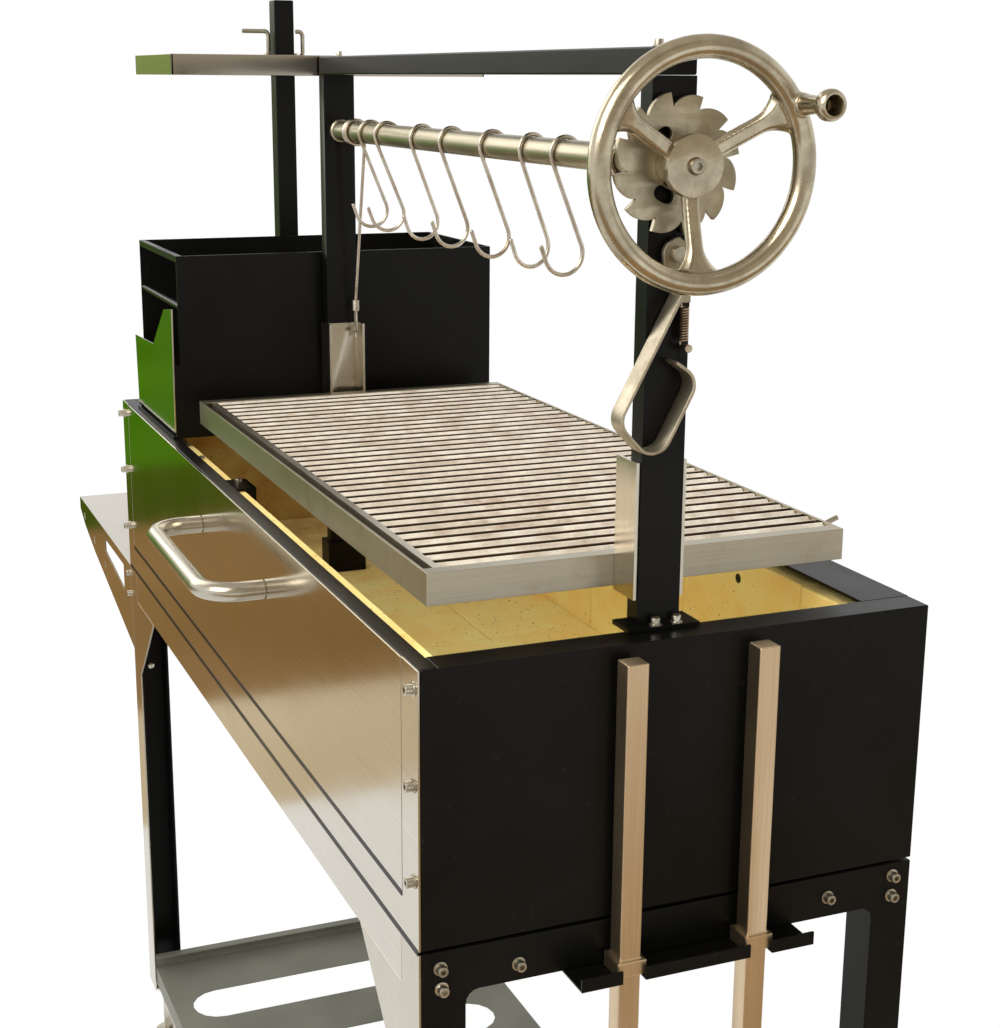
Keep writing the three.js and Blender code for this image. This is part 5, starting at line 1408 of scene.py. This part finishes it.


# Painted shade: a dark V on each bar's outer flanks, where the shadow between the bars falls.
def bar_shade_crust(middle):
    """A thin V round the outer flanks of the bar whose middle is at that X: the outer line of the
    section a hair outside the steel, and the inner line a hair inside it."""
    half, keel = BAR_WIDTH / 2 + SHADE_PROUD, BAR_WALL / 2 + SHADE_PROUD
    low = -BAR_DEPTH - SHADE_PROUD
    outer = np.array([(-half, -SHADE_BELOW_TOP), (-keel, low), (keel, low), (half, -SHADE_BELOW_TOP)])
    inner = outer[::-1] + np.array([0, 3 * SHADE_PROUD])
    across, up = MM * np.concatenate([outer, inner]).T
    ends = [np.column_stack([middle + across, np.full(len(across), y), bars_high[2] + up])
            for y in (bars_low[1] + MM, bars_high[1] - MM)]
    return shell(np.stack(ends))


bar_middles = np.linspace(bars_low[0] + BAR_WIDTH / 2 * MM, bars_high[0] - BAR_WIDTH / 2 * MM, BAR_COUNT)
settle(gathered("painted_shade_under_bars", [bar_shade_crust(x) for x in bar_middles]), "painted_shade", "grate")
strip_low = bars_low - np.array([0, STRIP_THICKNESS * MM, 0])
strip_high = np.array([bars_high[0], bars_low[1], bars_high[2]])
settle(gathered("bar_end_strip", [block(strip_low, strip_high)]), "strip", "grate")
# Painted shade: black strips flush with the front in the door's and the cart's long seams, for the shadow in
# those gaps and the black wall behind.
settle(gathered("front_seam_shade_strips", [
    millimetre_block(DOOR_SEAM_X, (-SEAM_STRIP_PROUD, SEAM_STRIP_DEPTH), DOOR_SEAM_Z),
    millimetre_block(CART_SEAM_X, (-SEAM_STRIP_PROUD, SEAM_STRIP_DEPTH), CART_SEAM_Z),
]), "black", "cart")
settle(gathered("basket_rest", [millimetre_block(*slab) for slab in BASKET_REST]),
       "black", "cart")
settle(gathered("small_bolts", [
    screw_head(at(place), Z_AXIS, radius, height) for place, radius, height in SMALL_BOLTS
]), "zinc", "cart")
# Painted shade: a flat black disc over the drilled hole, for the shade inside it and the black panel behind.
settle(gathered("lining_hole_shade_disc", [turned([(-0.2, 5.0), (0.3, 5.0)], at(LINING_HOLE), -Y_AXIS, 24)]),
       "black", "cart")
shelf_front = (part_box("side_shelf")[0].y - rim_corner[1]) / MM
settle(gathered("shelf_screws", [
    screw_head(at(SHELF_SCREW_X, shelf_front + 0.3, z), -Y_AXIS, 4.2, 4.5) for z in SHELF_SCREW_HEIGHTS
]), "zinc", nodes["side_shelf"]["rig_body"])
print("small things made")

# %% [markdown]
# What holds the sheets together shows as rows of bright socket screws against the black paint.
# They stand proud of the faces because their heads aren't sunk. A washer sits under each, and one
# domed bolt on the left leg facing has none.

# %% Screws on the cart
FRONT_SCREW_HEIGHTS = (-18, -101, -186)
FRONT_SCREW_COLUMNS = (-10, -1250)
END_SCREWS = ((19, -264), (20, -283), (90, -274), (398, -270), (468, -261), (468, -281))
BASE_SCREWS, BASE_TOP = ((-27.5, 226), (-27.5, 246)), 4.3
BEAM_SCREWS, BEAM_TOP = ((-62, 231), (-923, 231)), 481
SCREW_RADIUS, SCREW_HEIGHT = 4.6, 7.0
SMALL_SCREW_RADIUS, SMALL_SCREW_HEIGHT = 4.0, 5.5
LEG_BOLT = (-1219.6, 16, -396)


def cart_screws():
    """Every fixed screw as one piece: heads on washers, each pointing out of its face."""
    large, small = (SCREW_RADIUS, SCREW_HEIGHT), (SMALL_SCREW_RADIUS, SMALL_SCREW_HEIGHT)
    heads = [(at(x, 0, z), -Y_AXIS, *large) for z in FRONT_SCREW_HEIGHTS for x in FRONT_SCREW_COLUMNS]
    heads += [(at(0, y, z), X_AXIS, *large) for y, z in END_SCREWS]
    heads += [(at(x, y, BASE_TOP), Z_AXIS, *small) for x, y in BASE_SCREWS]
    heads += [(at(x, y, BEAM_TOP), Z_AXIS, *small) for x, y in BEAM_SCREWS]
    parts = []
    for place, axis, radius, height in heads:
        washer = [(0, radius + 1.6), (0.9, radius + 1.6), (1.0, radius + 1.4)]
        parts.append(turned(washer, place, axis, 32))
        parts.append(screw_head(place + axis * MM, axis, radius, height))
    dome = [(0, 5.5), (1.6, 5.2), (2.8, 4.2), (3.6, 2.2), (3.8, 0.3)]
    parts.append(turned(dome, at(LEG_BOLT), X_AXIS, 32))
    return settle(gathered("cart_screws", parts), "zinc", "cart")


cart_screws()
print("screws made")

# %% [markdown]
# The last cell prints how many pieces were made.

# %% The count of pieces
print(len(made_pieces), "pieces made")
